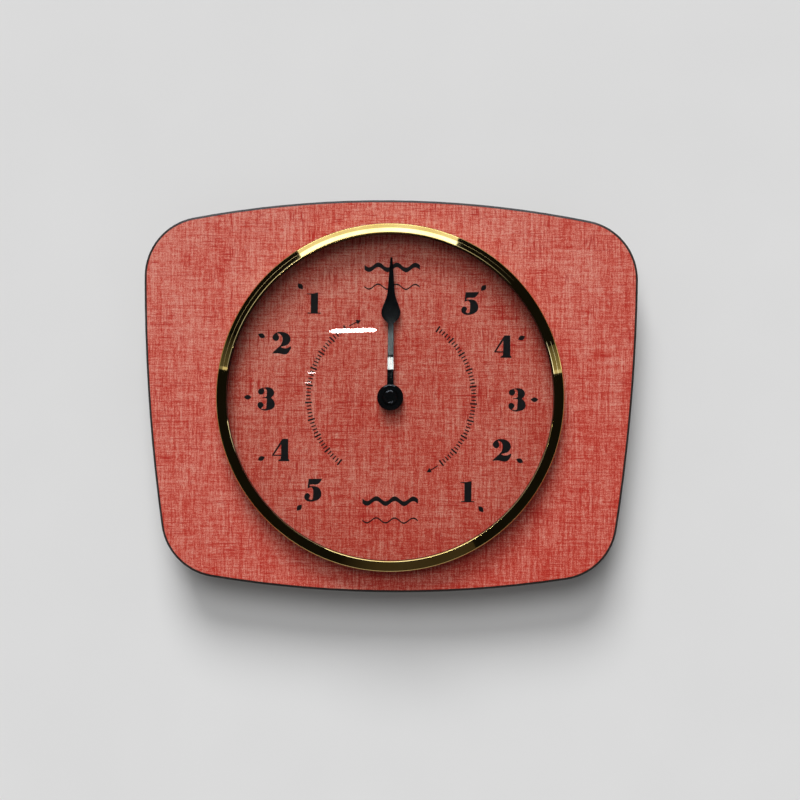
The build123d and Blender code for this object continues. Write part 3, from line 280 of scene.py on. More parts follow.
PLAIN_ROWS = {
    # slot: name, dark, light, blotch in mm, roughness (from, to), metallic, grain in mm, relief in mm
    "board": ("sealed_board", (34, 28, 25), (52, 43, 38), 9.0, (0.55, 0.75), 0, 0.7, 0.06),
    "ring_black": ("ring_plastic", (16, 15, 15), (27, 26, 26), 7.0, (0.38, 0.52), 0, 0.4, 0.01),
    "hand_black": ("black_enamel", (10, 11, 13), (15, 16, 18), 6.0, (0.035, 0.075), 0, 0.9, 0.0004),
    "bush_brass": ("turned_brass", (178, 142, 72), (206, 172, 98), 3.0, (0.22, 0.36), 1, 0.25, 0.006),
    "rubber": ("black_rubber", (22, 22, 22), (36, 35, 34), 5.0, (0.70, 0.88), 0, 0.35, 0.03),
    "plated_steel": ("zinc_plate", (158, 160, 162), (196, 197, 196), 4.5, (0.26, 0.42), 1, 0.5, 0.008),
    "case_plastic": ("moulded_case", (21, 21, 22), (35, 35, 36), 8.0, (0.42, 0.58), 0, 0.3, 0.02),
    "gear_plastic": ("white_acetal", (216, 212, 200), (236, 233, 224), 3.0, (0.32, 0.46), 0, 0.3, 0.01),
    "knob_plastic": ("grey_knob", (150, 149, 146), (178, 177, 173), 3.0, (0.40, 0.55), 0, 0.25, 0.012),
    "magnet": ("dark_ferrite", (44, 42, 42), (66, 63, 62), 1.2, (0.45, 0.62), 0.6, 0.2, 0.01),
    "motor_steel": ("soft_iron", (120, 121, 124), (158, 159, 161), 2.0, (0.30, 0.46), 1, 0.3, 0.006),
    "bobbin_plastic": ("bobbin_nylon", (40, 66, 92), (58, 88, 118), 2.0, (0.38, 0.52), 0, 0.25, 0.01),
    "chip_resin": ("chip_resin", (18, 18, 19), (30, 30, 31), 1.0, (0.35, 0.5), 0, 0.2, 0.01),
    "crystal_can": ("crystal_can", (176, 177, 176), (208, 208, 205), 1.5, (0.18, 0.30), 1, 0.2, 0.003),
    "contact_nickel": ("nickel_strip", (166, 164, 156), (202, 200, 190), 3.0, (0.20, 0.34), 1, 0.3, 0.004),
    "spacer_plastic": ("spacer_plastic", (30, 30, 31), (46, 45, 45), 5.0, (0.42, 0.6), 0, 0.3, 0.02),
}
PLAIN = {slot: mottled(*row) for slot, row in PLAIN_ROWS.items()}
print("plain finishes", len(PLAIN))

# %% [markdown]
# ## Polished brass, glass and print
# Bright metal shows its surroundings more than itself, so the brass is simple: a warm metal with a low
# roughness and hardly any relief. A thin pane hardly bends what is seen through it, so the glass is a
# Transparent shader with a little mirror mixed in, as a Fresnel node says, and only where a ray comes in
# from outside. The print is matt black ink. On the back of the board, brown fibres show through a thin black
# seal.

# %% Brass and glass
def polished_brass():
    material, tree, shader = start_finish("polished_brass")
    drift = weighted(tree, [(noise(tree, 14.0, 3.0), 1.0), (noise(tree, 0.6, 2.0, 3.0), 0.5)])
    warm = ramp(tree, drift, (0.30, paint(205, 176, 102)), (0.70, paint(221, 196, 126)))
    feed(tree, shader, warm, spread(tree, drift, 0.02, 0.045), 1.0)
    lift(tree, shader, noise(tree, 5.0, 2.0, 6.0), 0.004, 0.4)
    return material


def clear_glass():
    material, tree, shader = start_finish("clear_glass")
    feed(tree, shader, paint(254, 254, 254), spread(tree, noise(tree, 18.0, 4.0), 0.0, 0.012), 1.0)
    open_air = add(tree, "BsdfTransparent", {"Color": paint(253, 254, 253)})
    fresnel = add(tree, "Fresnel", {"IOR": 1.6}).outputs[0]
    inside = add(tree, "NewGeometry").outputs["Backfacing"]
    shine = add(tree, "Mix", {"Factor": inside, "A": fresnel, "B": 0.0}).outputs["Result"]
    mix_surface(tree, shine, open_air, shader)
    return material


def sealed_fibres():
    material, tree, shader = start_finish("sealed_fibres")
    felt = weighted(tree, [
        (noise(tree, (5.0, 5.0, 0.5), 2.0), 0.5),
        (noise(tree, (0.5, 5.0, 5.0), 2.0, 4.0), 0.5),
        (noise(tree, 0.9, 2.0, 9.0), 0.6),
        (noise(tree, 22.0, 3.0, 2.0), 0.5),
    ])
    browns = ramp(
        tree, felt, (0.28, paint(38, 33, 30)), (0.52, paint(55, 47, 42)), (0.66, paint(76, 62, 51)),
        (0.78, paint(104, 83, 65)),
    )
    feed(tree, shader, browns, spread(tree, felt, 0.58, 0.80))
    lift(tree, shader, felt, 0.10, 0.7)
    return material


BRASS = polished_brass()
GLASS = clear_glass()
FIBRES = sealed_fibres()
INK = mottled("dial_ink", (11, 11, 12), (22, 21, 22), 2.0, (0.45, 0.60), 0, 0.5, 0.01)
EDGE = mottled("laminate_core", (24, 20, 18), (44, 37, 33), 6.0, (0.35, 0.5), 0, 0.5, 0.02)
print(BRASS.name, GLASS.name, FIBRES.name, INK.name, EDGE.name)

# %% [markdown]
# ## Finishes with a pattern of their own
# Three pieces need more than mottling. A Wave texture gives the coil's fine wire, a narrow band cut from
# noise gives the circuit's copper tracks, and the tones of the battery's printed sleeve follow its length.

# %% Coil, circuit and battery
WIRE = 0.22  # pitch of the coil's wire in mm


def copper_wire():
    material, tree, shader = start_finish("copper_wire")
    place = scaled_place(tree, [math.pi / (10 * WIRE * MM)] * 3)
    wave = add(tree, "TexWave", {"Scale": 1.0, "Vector": place}).outputs["Fac"]
    turns = weighted(tree, [(wave, 0.7), (noise(tree, 1.5), 0.6)])
    coppers = ramp(tree, turns, (0.2, paint(96, 44, 24)), (0.8, paint(196, 112, 70)))
    feed(tree, shader, coppers, spread(tree, noise(tree, 0.8), 0.25, 0.4), 0.9)
    lift(tree, shader, wave, 0.08, 0.8)
    return material


def green_circuit():
    material, tree, shader = start_finish("green_circuit")
    lanes = noise(tree, (2.2, 2.2, 1.1), 1.0)
    tracks = ramp(
        tree, lanes, (0.46, [0, 0, 0, 1]), (0.48, [1, 1, 1, 1]), (0.52, [1, 1, 1, 1]), (0.54, [0, 0, 0, 1])
    )
    lacquer = ramp(tree, noise(tree, 3.0, 2.0), (0.3, paint(20, 78, 48)), (0.7, paint(30, 96, 60)))
    greens = blend(tree, tracks, lacquer, paint(92, 138, 74))
    feed(tree, shader, greens, spread(tree, noise(tree, 1.0, 2.0, 3.0), 0.25, 0.4))
    lift(tree, shader, tracks, 0.03, 0.6)
    return material


def battery_sleeve():
    material, tree, shader = start_finish("battery_sleeve")
    low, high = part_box("battery")
    tones = ramp(
        tree, remap(tree, place_along(tree, "X"), low.x, high.x),
        (0.0, paint(38, 40, 44)), (0.700, paint(46, 48, 52)), (0.703, paint(214, 206, 188)),
        (0.715, paint(214, 206, 188)), (0.718, paint(164, 106, 58)), (1.0, paint(176, 118, 66)),
    )
    feed(tree, shader, tones, spread(tree, noise(tree, 6.0, 3.0), 0.22, 0.36), 0.35)
    lift(tree, shader, noise(tree, (30, 1.2, 1.2), 2.0), 0.02, 0.4)
    return material


PATTERNED = {
    "laminate": LINEN, "bezel_brass": BRASS, "glass": GLASS,
    "copper": copper_wire(), "circuit": green_circuit(), "battery_jacket": battery_sleeve(),
}
FINISH = {**PLAIN, **PATTERNED}
print("slots with a finish", sorted(FINISH))

# %% [markdown]
# ## Finishes on the CAD nodes
# The pieces inside the movement keep their CAD meshes, because a gear is right as it is. The record says
# which material slot each node has, so one loop dresses them all. Pieces that are replaced further on are
# hidden then.

# %% Dress every node by its slot
SLOT = {row["node"]: row["material_slot"] for row in frame["record"]["subparts"]}
for name, node in frame["nodes"].items():
    node.data.materials.clear()
    node.data.materials.append(FINISH[SLOT[name]])
print("dressed", len(frame["nodes"]), "nodes")

# %% [markdown]
# ## Making pieces
# Two kinds of mesh come up again and again. A turned piece is a profile spun round an axis, as on a lathe. A
# softened piece is a copy of a CAD node: its triangles are merged, its flat faces made whole and its sharp
# edges bevelled, because a small round catches the light as a real edge does. A Weighted Normal modifier
# keeps the large faces flat beside the small rounds.

# %% Turned and softened meshes
WELD, CAD_WELD = 1e-7, 1e-6  # vertices nearer than this, in metres, are merged
BEZEL_STEPS, GLASS_STEPS, SMALL_STEPS = 240, 160, 96  # in a full turn
FLAT_WITHIN = 0.5  # faces that meet at a smaller angle, in degrees, are one


def chain(bm, points, closed=False):
    """Vertices at some points, with an edge from each to the next."""
    verts = [bm.verts.new(point) for point in points]
    pairs = list(zip(verts, verts[1:]))
    if closed:
        pairs.append((verts[-1], verts[0]))
    return verts + [bm.edges.new(pair) for pair in pairs]


def lathe(bm, geom, centre, axis, steps):
    """Spins some edges a full turn round an axis and joins them up."""
    bmesh.ops.spin(bm, geom=geom, cent=centre, axis=axis, angle=2 * math.pi, steps=steps, use_merge=True)
    bmesh.ops.remove_doubles(bm, verts=bm.verts, dist=WELD)
    bmesh.ops.recalc_face_normals(bm, faces=bm.faces)


def turned(profile, steps, closed=True):
    """A profile of (radius, depth from the dial's face) in mm, spun round the dial's axis."""
    bm = bmesh.new()
    points = [(DIAL.x + r * MM, FACE + d * MM, DIAL.z) for r, d in profile]
    lathe(bm, chain(bm, points, closed), DIAL, (0, 1, 0), steps)
    return bm


def swung(centre, angle, out=0.0):
    """A place out mm above a centre, swung clockwise round it by some degrees."""
    turn = Matrix.Rotation(math.radians(angle), 4, "Y")
    return Matrix.Translation(centre) @ turn @ Matrix.Translation((0, 0, out * MM))


def cad_copy(node):
    """A CAD node's mesh with its triangles merged and its flat faces whole."""
    bm = bmesh.new()
    bm.from_mesh(frame["nodes"][node].data)
    bmesh.ops.remove_doubles(bm, verts=bm.verts, dist=CAD_WELD)
    bmesh.ops.dissolve_limit(bm, angle_limit=math.radians(FLAT_WITHIN), verts=bm.verts, edges=bm.edges)
    return bm


def round_edges(bm, width, segments=2, sharper=30, among=None):
    """Bevels the edges that are sharper than an angle, or those among a list, by a width in mm."""
    limit = math.radians(sharper)
    edges = among or [e for e in bm.edges if e.is_manifold and e.calc_face_angle() > limit]
    bmesh.ops.bevel(
        bm, geom=edges, offset=width * MM, offset_type="OFFSET", affect="EDGES", segments=segments,
        profile=0.5, material=-1, clamp_overlap=True,
    )
    return bm


print("vertices merge within", WELD, "m, and CAD vertices within", CAD_WELD, "m")

# %% Finished objects
def put(name, data):
    """A new object at the origin of the scene."""
    thing = bpy.data.objects.new(name, data)
    scene.collection.objects.link(thing)
    return thing


def add_object(name, bm, materials):
    """A new object from a bmesh, which is freed."""
    mesh = bpy.data.meshes.new(name)
    bm.to_mesh(mesh)
    bm.free()
    for material in materials:
        mesh.materials.append(material)
    return put(name, mesh)


def make_piece(name, bm, body, slot, *finishes, stands_for=(), sharp=35, even=True):
    """A finished piece: shaded, dressed, riding on its body and standing for its CAD nodes."""
    piece = add_object(name, bm, finishes or [FINISH[slot]])
    piece.data.shade_smooth()
    piece.data.set_sharp_from_angle(angle=math.radians(sharp))
    if even:
        piece.modifiers.new("even_normals", "WEIGHTED_NORMAL").keep_sharp = True
    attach(piece, body)
    if stands_for:
        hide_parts(*stands_for)
    print(name, "faces", len(piece.data.polygons))
    return piece


# %% [markdown]
# ## The panel
# The panel is the laminate on a board, sawn to a soft barrel shape with a slanted dark edge, which is the
# laminate's core. The crease between face and slant gets a small round that catches a thin line of light,
# and faces that look sideways get the core's finish. On the board, the faces that look backwards get the
# fibres.

# %% Laminate and board
FACE_ROUND, BOARD_ROUND = 0.22, 0.4  # in mm
LEVEL, FACING = 0.99, 0.93  # how much of a normal lies along Y on a flat face, and on one that looks that way
SLANT_LOW, SLANT_HIGH = 0.3, 0.9  # the same on the slant round the face


def is_crease(edge):
    """Whether an edge runs between the flat face and the slant."""
    if not edge.is_manifold:
        return False
    slopes = [abs(face.normal.y) for face in edge.link_faces]
    return max(slopes) > LEVEL and SLANT_LOW < min(slopes) < SLANT_HIGH


bm = cad_copy("face_laminate")
round_edges(bm, FACE_ROUND, 3, among=[edge for edge in bm.edges if is_crease(edge)])
for face in bm.faces:
    face.material_index = 0 if face.normal.y < -FACING else 1
make_piece("linen_face", bm, "clock", "laminate", LINEN, EDGE, stands_for=["face_laminate"])
bm = round_edges(cad_copy("backing_board"), BOARD_ROUND)
for face in bm.faces:
    face.material_index = 1 if face.normal.y > FACING else 0
make_piece("back_board", bm, "clock", "board", FINISH["board"], FIBRES, stands_for=["backing_board"])

# %% [markdown]
# ## The bezel
# The bezel is a ring pressed from sheet brass: an upright wall, two slanted facets with a crease between
# them, and a rolled lip that holds the glass. Shoulder, crease and lip are small rounds in the spun profile,
# so each throws its own thin line of light. Four tabs go through the panel and are folded over behind it.

# %% Ring with two facets
BEZEL_PROFILE = [
    (84, 0), (84, -10.55), (83.95, -10.95), (83.78, -11.30), (83.50, -11.60), (82.00, -12.70),
    (81.82, -12.81), (81.60, -12.90), (79.88, -13.39), (79.58, -13.52), (79.47, -13.56), (79.30, -13.56),
    (79.17, -13.53), (78.93, -13.43), (78.85, -13.36), (78.85, -13.20), (81.27, -12.46), (83.2, -11),
    (83.2, 0),
]
bm = turned(BEZEL_PROFILE, BEZEL_STEPS)
TAB_WIDTH, TAB_FOLD, SHEET, TAB_RADIUS = 8.0, 6.0, 0.8, 84.0
BOARD_BACK = (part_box("backing_board")[1].y - FACE) / MM
TAB_PROFILE = [
    (TAB_RADIUS, 0.0), (TAB_RADIUS, BOARD_BACK + SHEET), (TAB_RADIUS - TAB_FOLD, BOARD_BACK + SHEET),
    (TAB_RADIUS - TAB_FOLD, BOARD_BACK), (TAB_RADIUS - SHEET, BOARD_BACK), (TAB_RADIUS - SHEET, 0.0),
]
for bearing in (45, 135, 225, 315):
    verts = [bm.verts.new((r * MM, d * MM, -TAB_WIDTH / 2 * MM)) for r, d in TAB_PROFILE]
    strip = bmesh.ops.extrude_face_region(bm, geom=[bm.faces.new(verts)])["geom"]
    far = [v for v in strip if isinstance(v, bmesh.types.BMVert)]
    bmesh.ops.translate(bm, verts=far, vec=(0, 0, TAB_WIDTH * MM))
    tab_faces = {f for v in verts + far for f in v.link_faces}
    bmesh.ops.recalc_face_normals(bm, faces=list(tab_faces))
    bmesh.ops.transform(bm, matrix=swung(DIAL, bearing), verts=verts + far)
brass_bezel = make_piece("brass_bezel", bm, "clock", "bezel_brass", stands_for=["bezel"], sharp=28)

# %% [markdown]
# ## The domed glass
# The glass is a shallow dome cut from a large sphere. A vertex spun a few degrees round the sphere's centre
# draws the front arc, and another draws the back arc two millimetres behind it. The two are joined and spun
# round the dial's axis.

# %% Dome
GLASS_RADIUS, GLASS_RISE, GLASS_WALL, ARC_STEPS = 80.0, 8.0, 2.0, 14
GLASS_CURVE = (GLASS_RADIUS**2 + GLASS_RISE**2) / (2 * GLASS_RISE)
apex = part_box("glass")[0].y
middle = Vector((DIAL.x, apex + GLASS_CURVE * MM, DIAL.z))
sweep = math.asin(GLASS_RADIUS / GLASS_CURVE)
bm = bmesh.new()
ends = []
for depth in (0.0, GLASS_WALL):
    top = bm.verts.new((DIAL.x, apex + depth * MM, DIAL.z))
    arc = bmesh.ops.spin(
        bm, geom=[top], cent=middle + Vector((0, depth * MM, 0)), axis=(0, 0, 1), angle=sweep, steps=ARC_STEPS
    )
    ends.append(arc["geom_last"][0])
bm.edges.new(ends)
lathe(bm, bm.verts[:] + bm.edges[:], DIAL, (0, 1, 0), GLASS_STEPS)
make_piece("dome_glass", bm, "clock", "glass", stands_for=["glass"], even=False)
print("glass curve", GLASS_CURVE, "mm")

# %% [markdown]
# ## The hand, its hub and its cap
# The hand is stamped from thin steel, set down towards the dial beside its hub, and enamelled gloss black.
# Cuts across the CAD copy give the set something to bend along, and then each vertex moves back along a ramp
# that is a little bowed and twisted, as a stamped bend is. The hub and its cap are turned pieces with
# slanted rims.

# %% Hand, hub and cap
SET_START, SET_END, SET_DEPTH, SET_STEPS = 12.9, 20.1, 0.651, 6  # the bend beside the hub, in mm
SET_ROUND, SET_TWIST, SET_BOW = 0.5, 0.058, 0.03
HAND_ROUND, HAND_CORNER = 0.14, 50  # the round of edges sharper than an angle, in mm and degrees


def along(value, start, end):
    """How far a value is from start to end, from 0 to 1."""
    return min(max((value - start) / (end - start), 0.0), 1.0)


bm = cad_copy("tide_hand")
steps = [SET_START + (SET_END - SET_START) * step / SET_STEPS for step in range(SET_STEPS + 1)]
for height in (SET_START - SET_ROUND, *steps, SET_END + SET_ROUND):
    bmesh.ops.bisect_plane(
        bm, geom=bm.verts[:] + bm.edges[:] + bm.faces[:], plane_co=DIAL + Vector((0, 0, height * MM)),
        plane_no=(0, 0, 1),
    )
round_edges(bm, HAND_ROUND, 2, HAND_CORNER)
for vert in bm.verts:
    height = (vert.co.z - DIAL.z) / MM
    share = along(height, SET_START, SET_END)
    vert.co.y += SET_DEPTH * (share + SET_BOW * share * (1 - share)) * MM
    twisted = along(height, SET_START - SET_ROUND, SET_START) - along(height, SET_END, SET_END + SET_ROUND)
    vert.co.y -= SET_TWIST * twisted * (vert.co.x - DIAL.x)
black_hand = make_piece("hand", bm, "hand", "hand_black", stands_for=["tide_hand"], sharp=4)
HUB_PROFILE = [
    (2.55, -4.1), (3.7, -4.1), (3.7, -6.1), (6.15, -6.1), (6.35, -6.3), (6.35, -7.2), (6.27, -7.38),
    (6.1, -7.48), (5.6, -7.65), (5.5, -7.67), (3.95, -7.67), (3.75, -7.58), (3.6, -7.3), (3.5, -6.9),
    (2.55, -6.9),
]
CAP_PROFILE = [
    (0, -6.9), (3.5, -6.9), (3.5, -8.15), (3.42, -8.28), (2.92, -8.45), (2.82, -8.46), (2.72, -8.44),
    (2.3, -8.29), (0, -8.29),
]
hub = turned(HUB_PROFILE, SMALL_STEPS)
make_piece("hub", hub, "hand", "hand_black", stands_for=["hand_hub"], sharp=12)
cap = turned(CAP_PROFILE, SMALL_STEPS, closed=False)
make_piece("cap", cap, "hand", "hand_black", stands_for=["hub_cap"], sharp=12)

# %% [markdown]
# ## Print on the dial
# The dial is screen printed straight on the laminate: numerals in a heavy, high-contrast style, an almond
# mark outside each of them, waves, and two fine scales. Text objects need a font file, so the numerals are
# drawn as Bezier outlines: most points have automatic handles, and corners have straight ones. A filled 2D
# curve with a very small extrusion becomes a thin closed slab, which is then stood upright.

# %% Outlines of the numerals, in mm from their middles
ONE = [
    (-3.7, 4.6, 1), (-0.7, 4.7, 1), (1.8, 5.2, 1), (1.75, -4.6, 1), (3.1, -4.6, 1), (3.1, -5.1, 1),
    (-3.3, -5.1, 1), (-3.3, -4.6, 1), (-1.7, -4.6, 1), (-1.7, 4.1, 1), (-3.7, 4.3, 1),
]
TWO = [
    (-4.4, 2.8), (-3.7, 4.2), (-2.2, 5.25), (-0.5, 5.55), (1.8, 5.15), (3.6, 4), (4.42, 2), (3.95, 0.4),
    (2.9, -0.8), (1.3, -1.35), (-0.25, -1.7, 1), (0.1, -2.1, 1), (1.2, -2.45), (2.7, -2.35), (3.8, -1.85),
    (4.55, -1.35, 1), (4.65, -2.2), (3.9, -3.8), (2.9, -5), (1.6, -5.45), (0.3, -5.3), (-1.3, -4.95),
    (-3, -4.95), (-4.55, -5.15, 1), (-3.7, -4.1), (-2.1, -2.6), (-0.7, -1.3), (0.15, 0.1), (0.5, 1.8),
    (0.2, 3.3), (-0.8, 4.4), (-2, 4.75, 1), (-1.7, 4.1), (-1.15, 2.9), (-1.5, 1.7), (-2.6, 1.05),
    (-3.8, 1.6),
]
THREE = [
    (-3.95, 3.7), (-3.5, 4.8), (-2.4, 5.35), (-1, 5.65), (1, 5.8), (2.8, 5.15), (3.8, 3.7), (3.7, 2.3),
    (3, 1.3), (2.4, 0.7, 1), (3.2, 0), (4.05, -1.3), (4.25, -2.5), (3.9, -3.8), (2.8, -4.8), (1.3, -5.2),
    (-0.1, -5.55), (-1.6, -5.35), (-3.1, -4.6), (-4.05, -3.5), (-4.1, -2.3), (-3.5, -1.5), (-2.7, -1.35),
    (-1.6, -1.9), (-1.2, -3.1), (-1.9, -3.9), (-2.4, -4.5, 1), (-1.2, -4.85), (-0.1, -4.6), (0.1, -3.6),
    (0.15, -2.1), (0.35, -0.6), (0.2, 0.3), (-0.6, 0.55), (-1.8, 0.65, 1), (-1.8, 1, 1), (-0.4, 1.05),
    (0.2, 1.5), (0.3, 2.9), (0.3, 4.2), (-0.3, 5.1), (-1.5, 5.2, 1), (-1, 4.4), (-1.05, 3.4), (-1.6, 2.5),
    (-2.5, 2.2), (-3.5, 2.6),
]
FOUR = [
    (0.6, 5.4, 1), (3.5, 5.45, 1), (3.6, -4.3, 1), (4.2, -4.9, 1), (4.2, -5.45, 1), (-1.2, -5.45, 1),
    (-1.2, -4.9, 1), (-0.1, -4.3, 1), (0.05, -2.9, 1), (-4.2, -2.9, 1), (-4.3, -2.5, 1),
]
FOUR_EYE = [(-3.4, -2.35, 1), (0.05, -2.35, 1), (0.1, 2.8, 1)]
FIVE = [
    (-2.25, 5.45, 1), (4.4, 5.6, 1), (3.5, 4.1), (2.3, 3), (1.1, 2.7), (-0.1, 2.8), (-1.5, 2.7, 1),
    (-1.8, 1.9, 1), (-0.7, 1.95), (1.1, 1.9), (2.8, 1.1), (3.75, -0.4), (4, -1.8), (3.6, -3.4), (2.4, -4.6),
    (0.6, -5.3), (-0.9, -5.6), (-2.7, -5.3), (-3.9, -4.4), (-4.3, -3.3), (-4, -2.3), (-3.2, -1.55),
    (-2.3, -1.6), (-1.5, -2.5), (-1.7, -3.4), (-2.1, -4.1, 1), (-1.2, -4.7), (-0.3, -4.3), (-0.05, -2.8),
    (0, -1), (-0.2, 0.6), (-0.8, 1.3), (-1.7, 1.2), (-2.7, 0.75, 1), (-2.6, 2.4, 1),
]
ALMOND = [(-1.95, 0.0, 1), (0.0, 1.15), (1.95, 0.0, 1), (0.0, -1.15)]
NUMERALS = {"1": [ONE], "2": [TWO], "3": [THREE], "4": [FOUR, FOUR_EYE], "5": [FIVE]}
print("numerals", sorted(NUMERALS))

# %% Outlines into thin slabs
INK_DEPTH = 0.04  # thickness of the print in mm
PRINT = DIAL + Vector((0.4 * MM, 0, 0))  # the print is a little off the axis
STAND = Matrix.Rotation(math.radians(90), 4, "X")


def slab(outlines):
    """A mesh of filled outlines, lying flat on XY at their own size in metres."""
    curve = bpy.data.curves.new("outline", "CURVE")
    curve.dimensions = "2D"
    curve.fill_mode = "BOTH"
    curve.extrude = INK_DEPTH * MM / 2
    curve.resolution_u = 6
    for outline in outlines:
        spline = curve.splines.new("BEZIER")
        spline.bezier_points.add(len(outline) - 1)
        spline.use_cyclic_u = True
        for point, (x, y, *corner) in zip(spline.bezier_points, outline):
            point.co = (x * MM, y * MM, 0)
            point.handle_left_type = point.handle_right_type = "VECTOR" if corner else "AUTO"
    holder = put("outline", curve)
    bpy.context.view_layer.update()
    mesh = bpy.data.meshes.new_from_object(holder.evaluated_get(bpy.context.evaluated_depsgraph_get()))
    bpy.data.objects.remove(holder)
    bpy.data.curves.remove(curve)
    return mesh


def printed(bm, mesh, right, up, turn=0.0):
    """Adds a slab to a bmesh at a place in mm from the axis, turned clockwise by some degrees."""
    place = PRINT + Vector((right * MM, -INK_DEPTH * MM / 2, up * MM))
    start = len(bm.verts)
    bm.from_mesh(mesh)
    bm.verts.ensure_lookup_table()
    bmesh.ops.transform(bm, matrix=swung(place, turn) @ STAND, verts=bm.verts[start:])


NUMERAL_PLACES = (
    # numeral, mm to the right of the axis and mm above it
    ("1", -37.7, 45.5), ("2", -53.5, 25.9), ("3", -60.7, -1.4), ("4", -53.3, -26), ("5", -37.5, -45.4),
    ("5", 38, 46), ("4", 54.2, 25.2), ("3", 61.2, -0.8), ("2", 54, -25.3), ("1", 37.7, -45.5),
)
MARK_RADIUS, MARK_ANGLES = 69.7, (39.7, 65.0, 90.4, 115.7, 140.7)
numerals = {name: slab(outlines) for name, outlines in NUMERALS.items()}
bm = bmesh.new()
for numeral, right, up in NUMERAL_PLACES:
    printed(bm, numerals[numeral], right, up)
make_piece("numerals", bm, "clock", "hand_black", INK, even=False)
almond = slab([ALMOND])
bm = bmesh.new()
for side in (-1, 1):
    for angle in MARK_ANGLES:
        around = side * math.radians(angle)
        printed(bm, almond, MARK_RADIUS * math.sin(around), MARK_RADIUS * math.cos(around), side * angle - 90)
make_piece("almond_marks", bm, "clock", "hand_black", INK, even=False)

# %% [markdown]
# ## Waves and scales
# Waves stand at the top and the bottom, a bold one over a fine one. A grid that is one face high and many
# faces long bends into a wave when its vertices rise and fall with a sine. Each scale is a row of short
# ticks, every fifth of them longer, with an arrow at one end. The arrow's shaft is an edge spun along an
# arc, and its head is a circle with three corners.

# %% Wave marks
WAVE_LENGTH, WAVE_CRESTS, WAVE_SWELL, WAVE_STEPS = 27.0, 3, 1.2, 96
BOLD, FINE = 2.3, 0.7  # widths of the two strokes in mm
WAVES = ((BOLD, 63.2), (FINE, 53.8), (BOLD, -50.4), (FINE, -59.8))  # width, height over the dial's axis


def wave_strip(bm, width, height):
    """A wavy strip of a width in mm, centred over the dial at a height in mm."""
    grid = bmesh.ops.create_grid(bm, x_segments=WAVE_STEPS, y_segments=1, size=0.5)["verts"]
    bmesh.ops.scale(bm, verts=grid, vec=(WAVE_LENGTH * MM, width * MM, 1))
    for vert in grid:
        vert.co.y += math.sin(vert.co.x / (WAVE_LENGTH * MM) * WAVE_CRESTS * 2 * math.pi) * WAVE_SWELL * MM
    spot = Matrix.Translation(PRINT + Vector((0, -INK_DEPTH * MM, height * MM))) @ STAND
    bmesh.ops.transform(bm, matrix=spot, verts=grid)


bm = bmesh.new()
for width, height in WAVES:
    wave_strip(bm, width, height)
bmesh.ops.solidify(bm, geom=bm.faces[:], thickness=INK_DEPTH * MM)
make_piece("wave_marks", bm, "clock", "hand_black", INK, even=False)

# %% Fine scales with arrows
SCALE_RADIUS, SCALE_START, SCALE_END, SCALE_STEP = 40.2, 34.0, 142.0, 2.4  # mm and degrees from the top
TICK, LONG_TICK, LONG_EVERY = (2.3, 0.6), (3.4, 0.8), 5  # length and width in mm
ARROW_GAP, ARROW_REACH, ARROW_WIDTH, ARROW_HEAD, ARROW_STEPS = 3, 10, 0.5, 1.5, 10
INK_TOP = PRINT + Vector((0, -INK_DEPTH * MM, 0))


def bar(bm, length, width, angle):
    """A flat bar across the scale at an angle from the top."""
    grid = bmesh.ops.create_grid(bm, x_segments=1, y_segments=1, size=0.5)["verts"]
    bmesh.ops.scale(bm, verts=grid, vec=(width * MM, length * MM, 1))
    bmesh.ops.transform(bm, matrix=swung(INK_TOP, angle, SCALE_RADIUS) @ STAND, verts=grid)


def arc_band(bm, centre, radius, width, start, end, steps):
    """A flat band round a centre between two angles from the top: its end edge, spun."""
    ends = [swung(centre, start, radius + side * width / 2).translation for side in (-1, 1)]
    pair = [bm.verts.new(point) for point in ends]
    bmesh.ops.spin(
        bm, geom=pair + [bm.edges.new(pair)], cent=centre, axis=(0, 1, 0), angle=math.radians(end - start),
        steps=steps, use_merge=end - start == 360,
    )


def arrow(bm, centre, radius, start, end, width, size):
    """A band with a three-cornered head at its end, which points on along it."""
    ahead = 1 if end > start else -1
    arc_band(bm, centre, radius, width, start, end - ahead * math.degrees(size / 2 / radius), ARROW_STEPS)
    head = bmesh.ops.create_circle(bm, cap_ends=True, segments=3, radius=size * MM)["verts"]
    bmesh.ops.rotate(bm, verts=head, matrix=Matrix.Rotation(math.radians(-90 * ahead), 3, "Z"))
    bmesh.ops.transform(bm, matrix=swung(centre, end, radius) @ STAND, verts=head)


bm = bmesh.new()
ticks = int((SCALE_END - SCALE_START) / SCALE_STEP) + 1
for tick in range(ticks):
    for side in (-1, 1):
        length, width = TICK if tick % LONG_EVERY else LONG_TICK
        bar(bm, length, width, side * (SCALE_START + tick * SCALE_STEP))
for end in (SCALE_END, -SCALE_START):
    arrow(bm, INK_TOP, SCALE_RADIUS, end + ARROW_GAP, end + ARROW_REACH, ARROW_WIDTH, ARROW_HEAD)
bmesh.ops.recalc_face_normals(bm, faces=bm.faces)
bmesh.ops.solidify(bm, geom=bm.faces[:], thickness=INK_DEPTH * MM)
make_piece("fine_scales", bm, "clock", "hand_black", INK, even=False)
print("ticks on each side", ticks)

# %% [markdown]
# ## The back
# The case, its cover, the setting knob, the hanger and the two spacers are softened copies of their CAD
# nodes. So are the nut and the washer under the hub, and the ring under the glass.

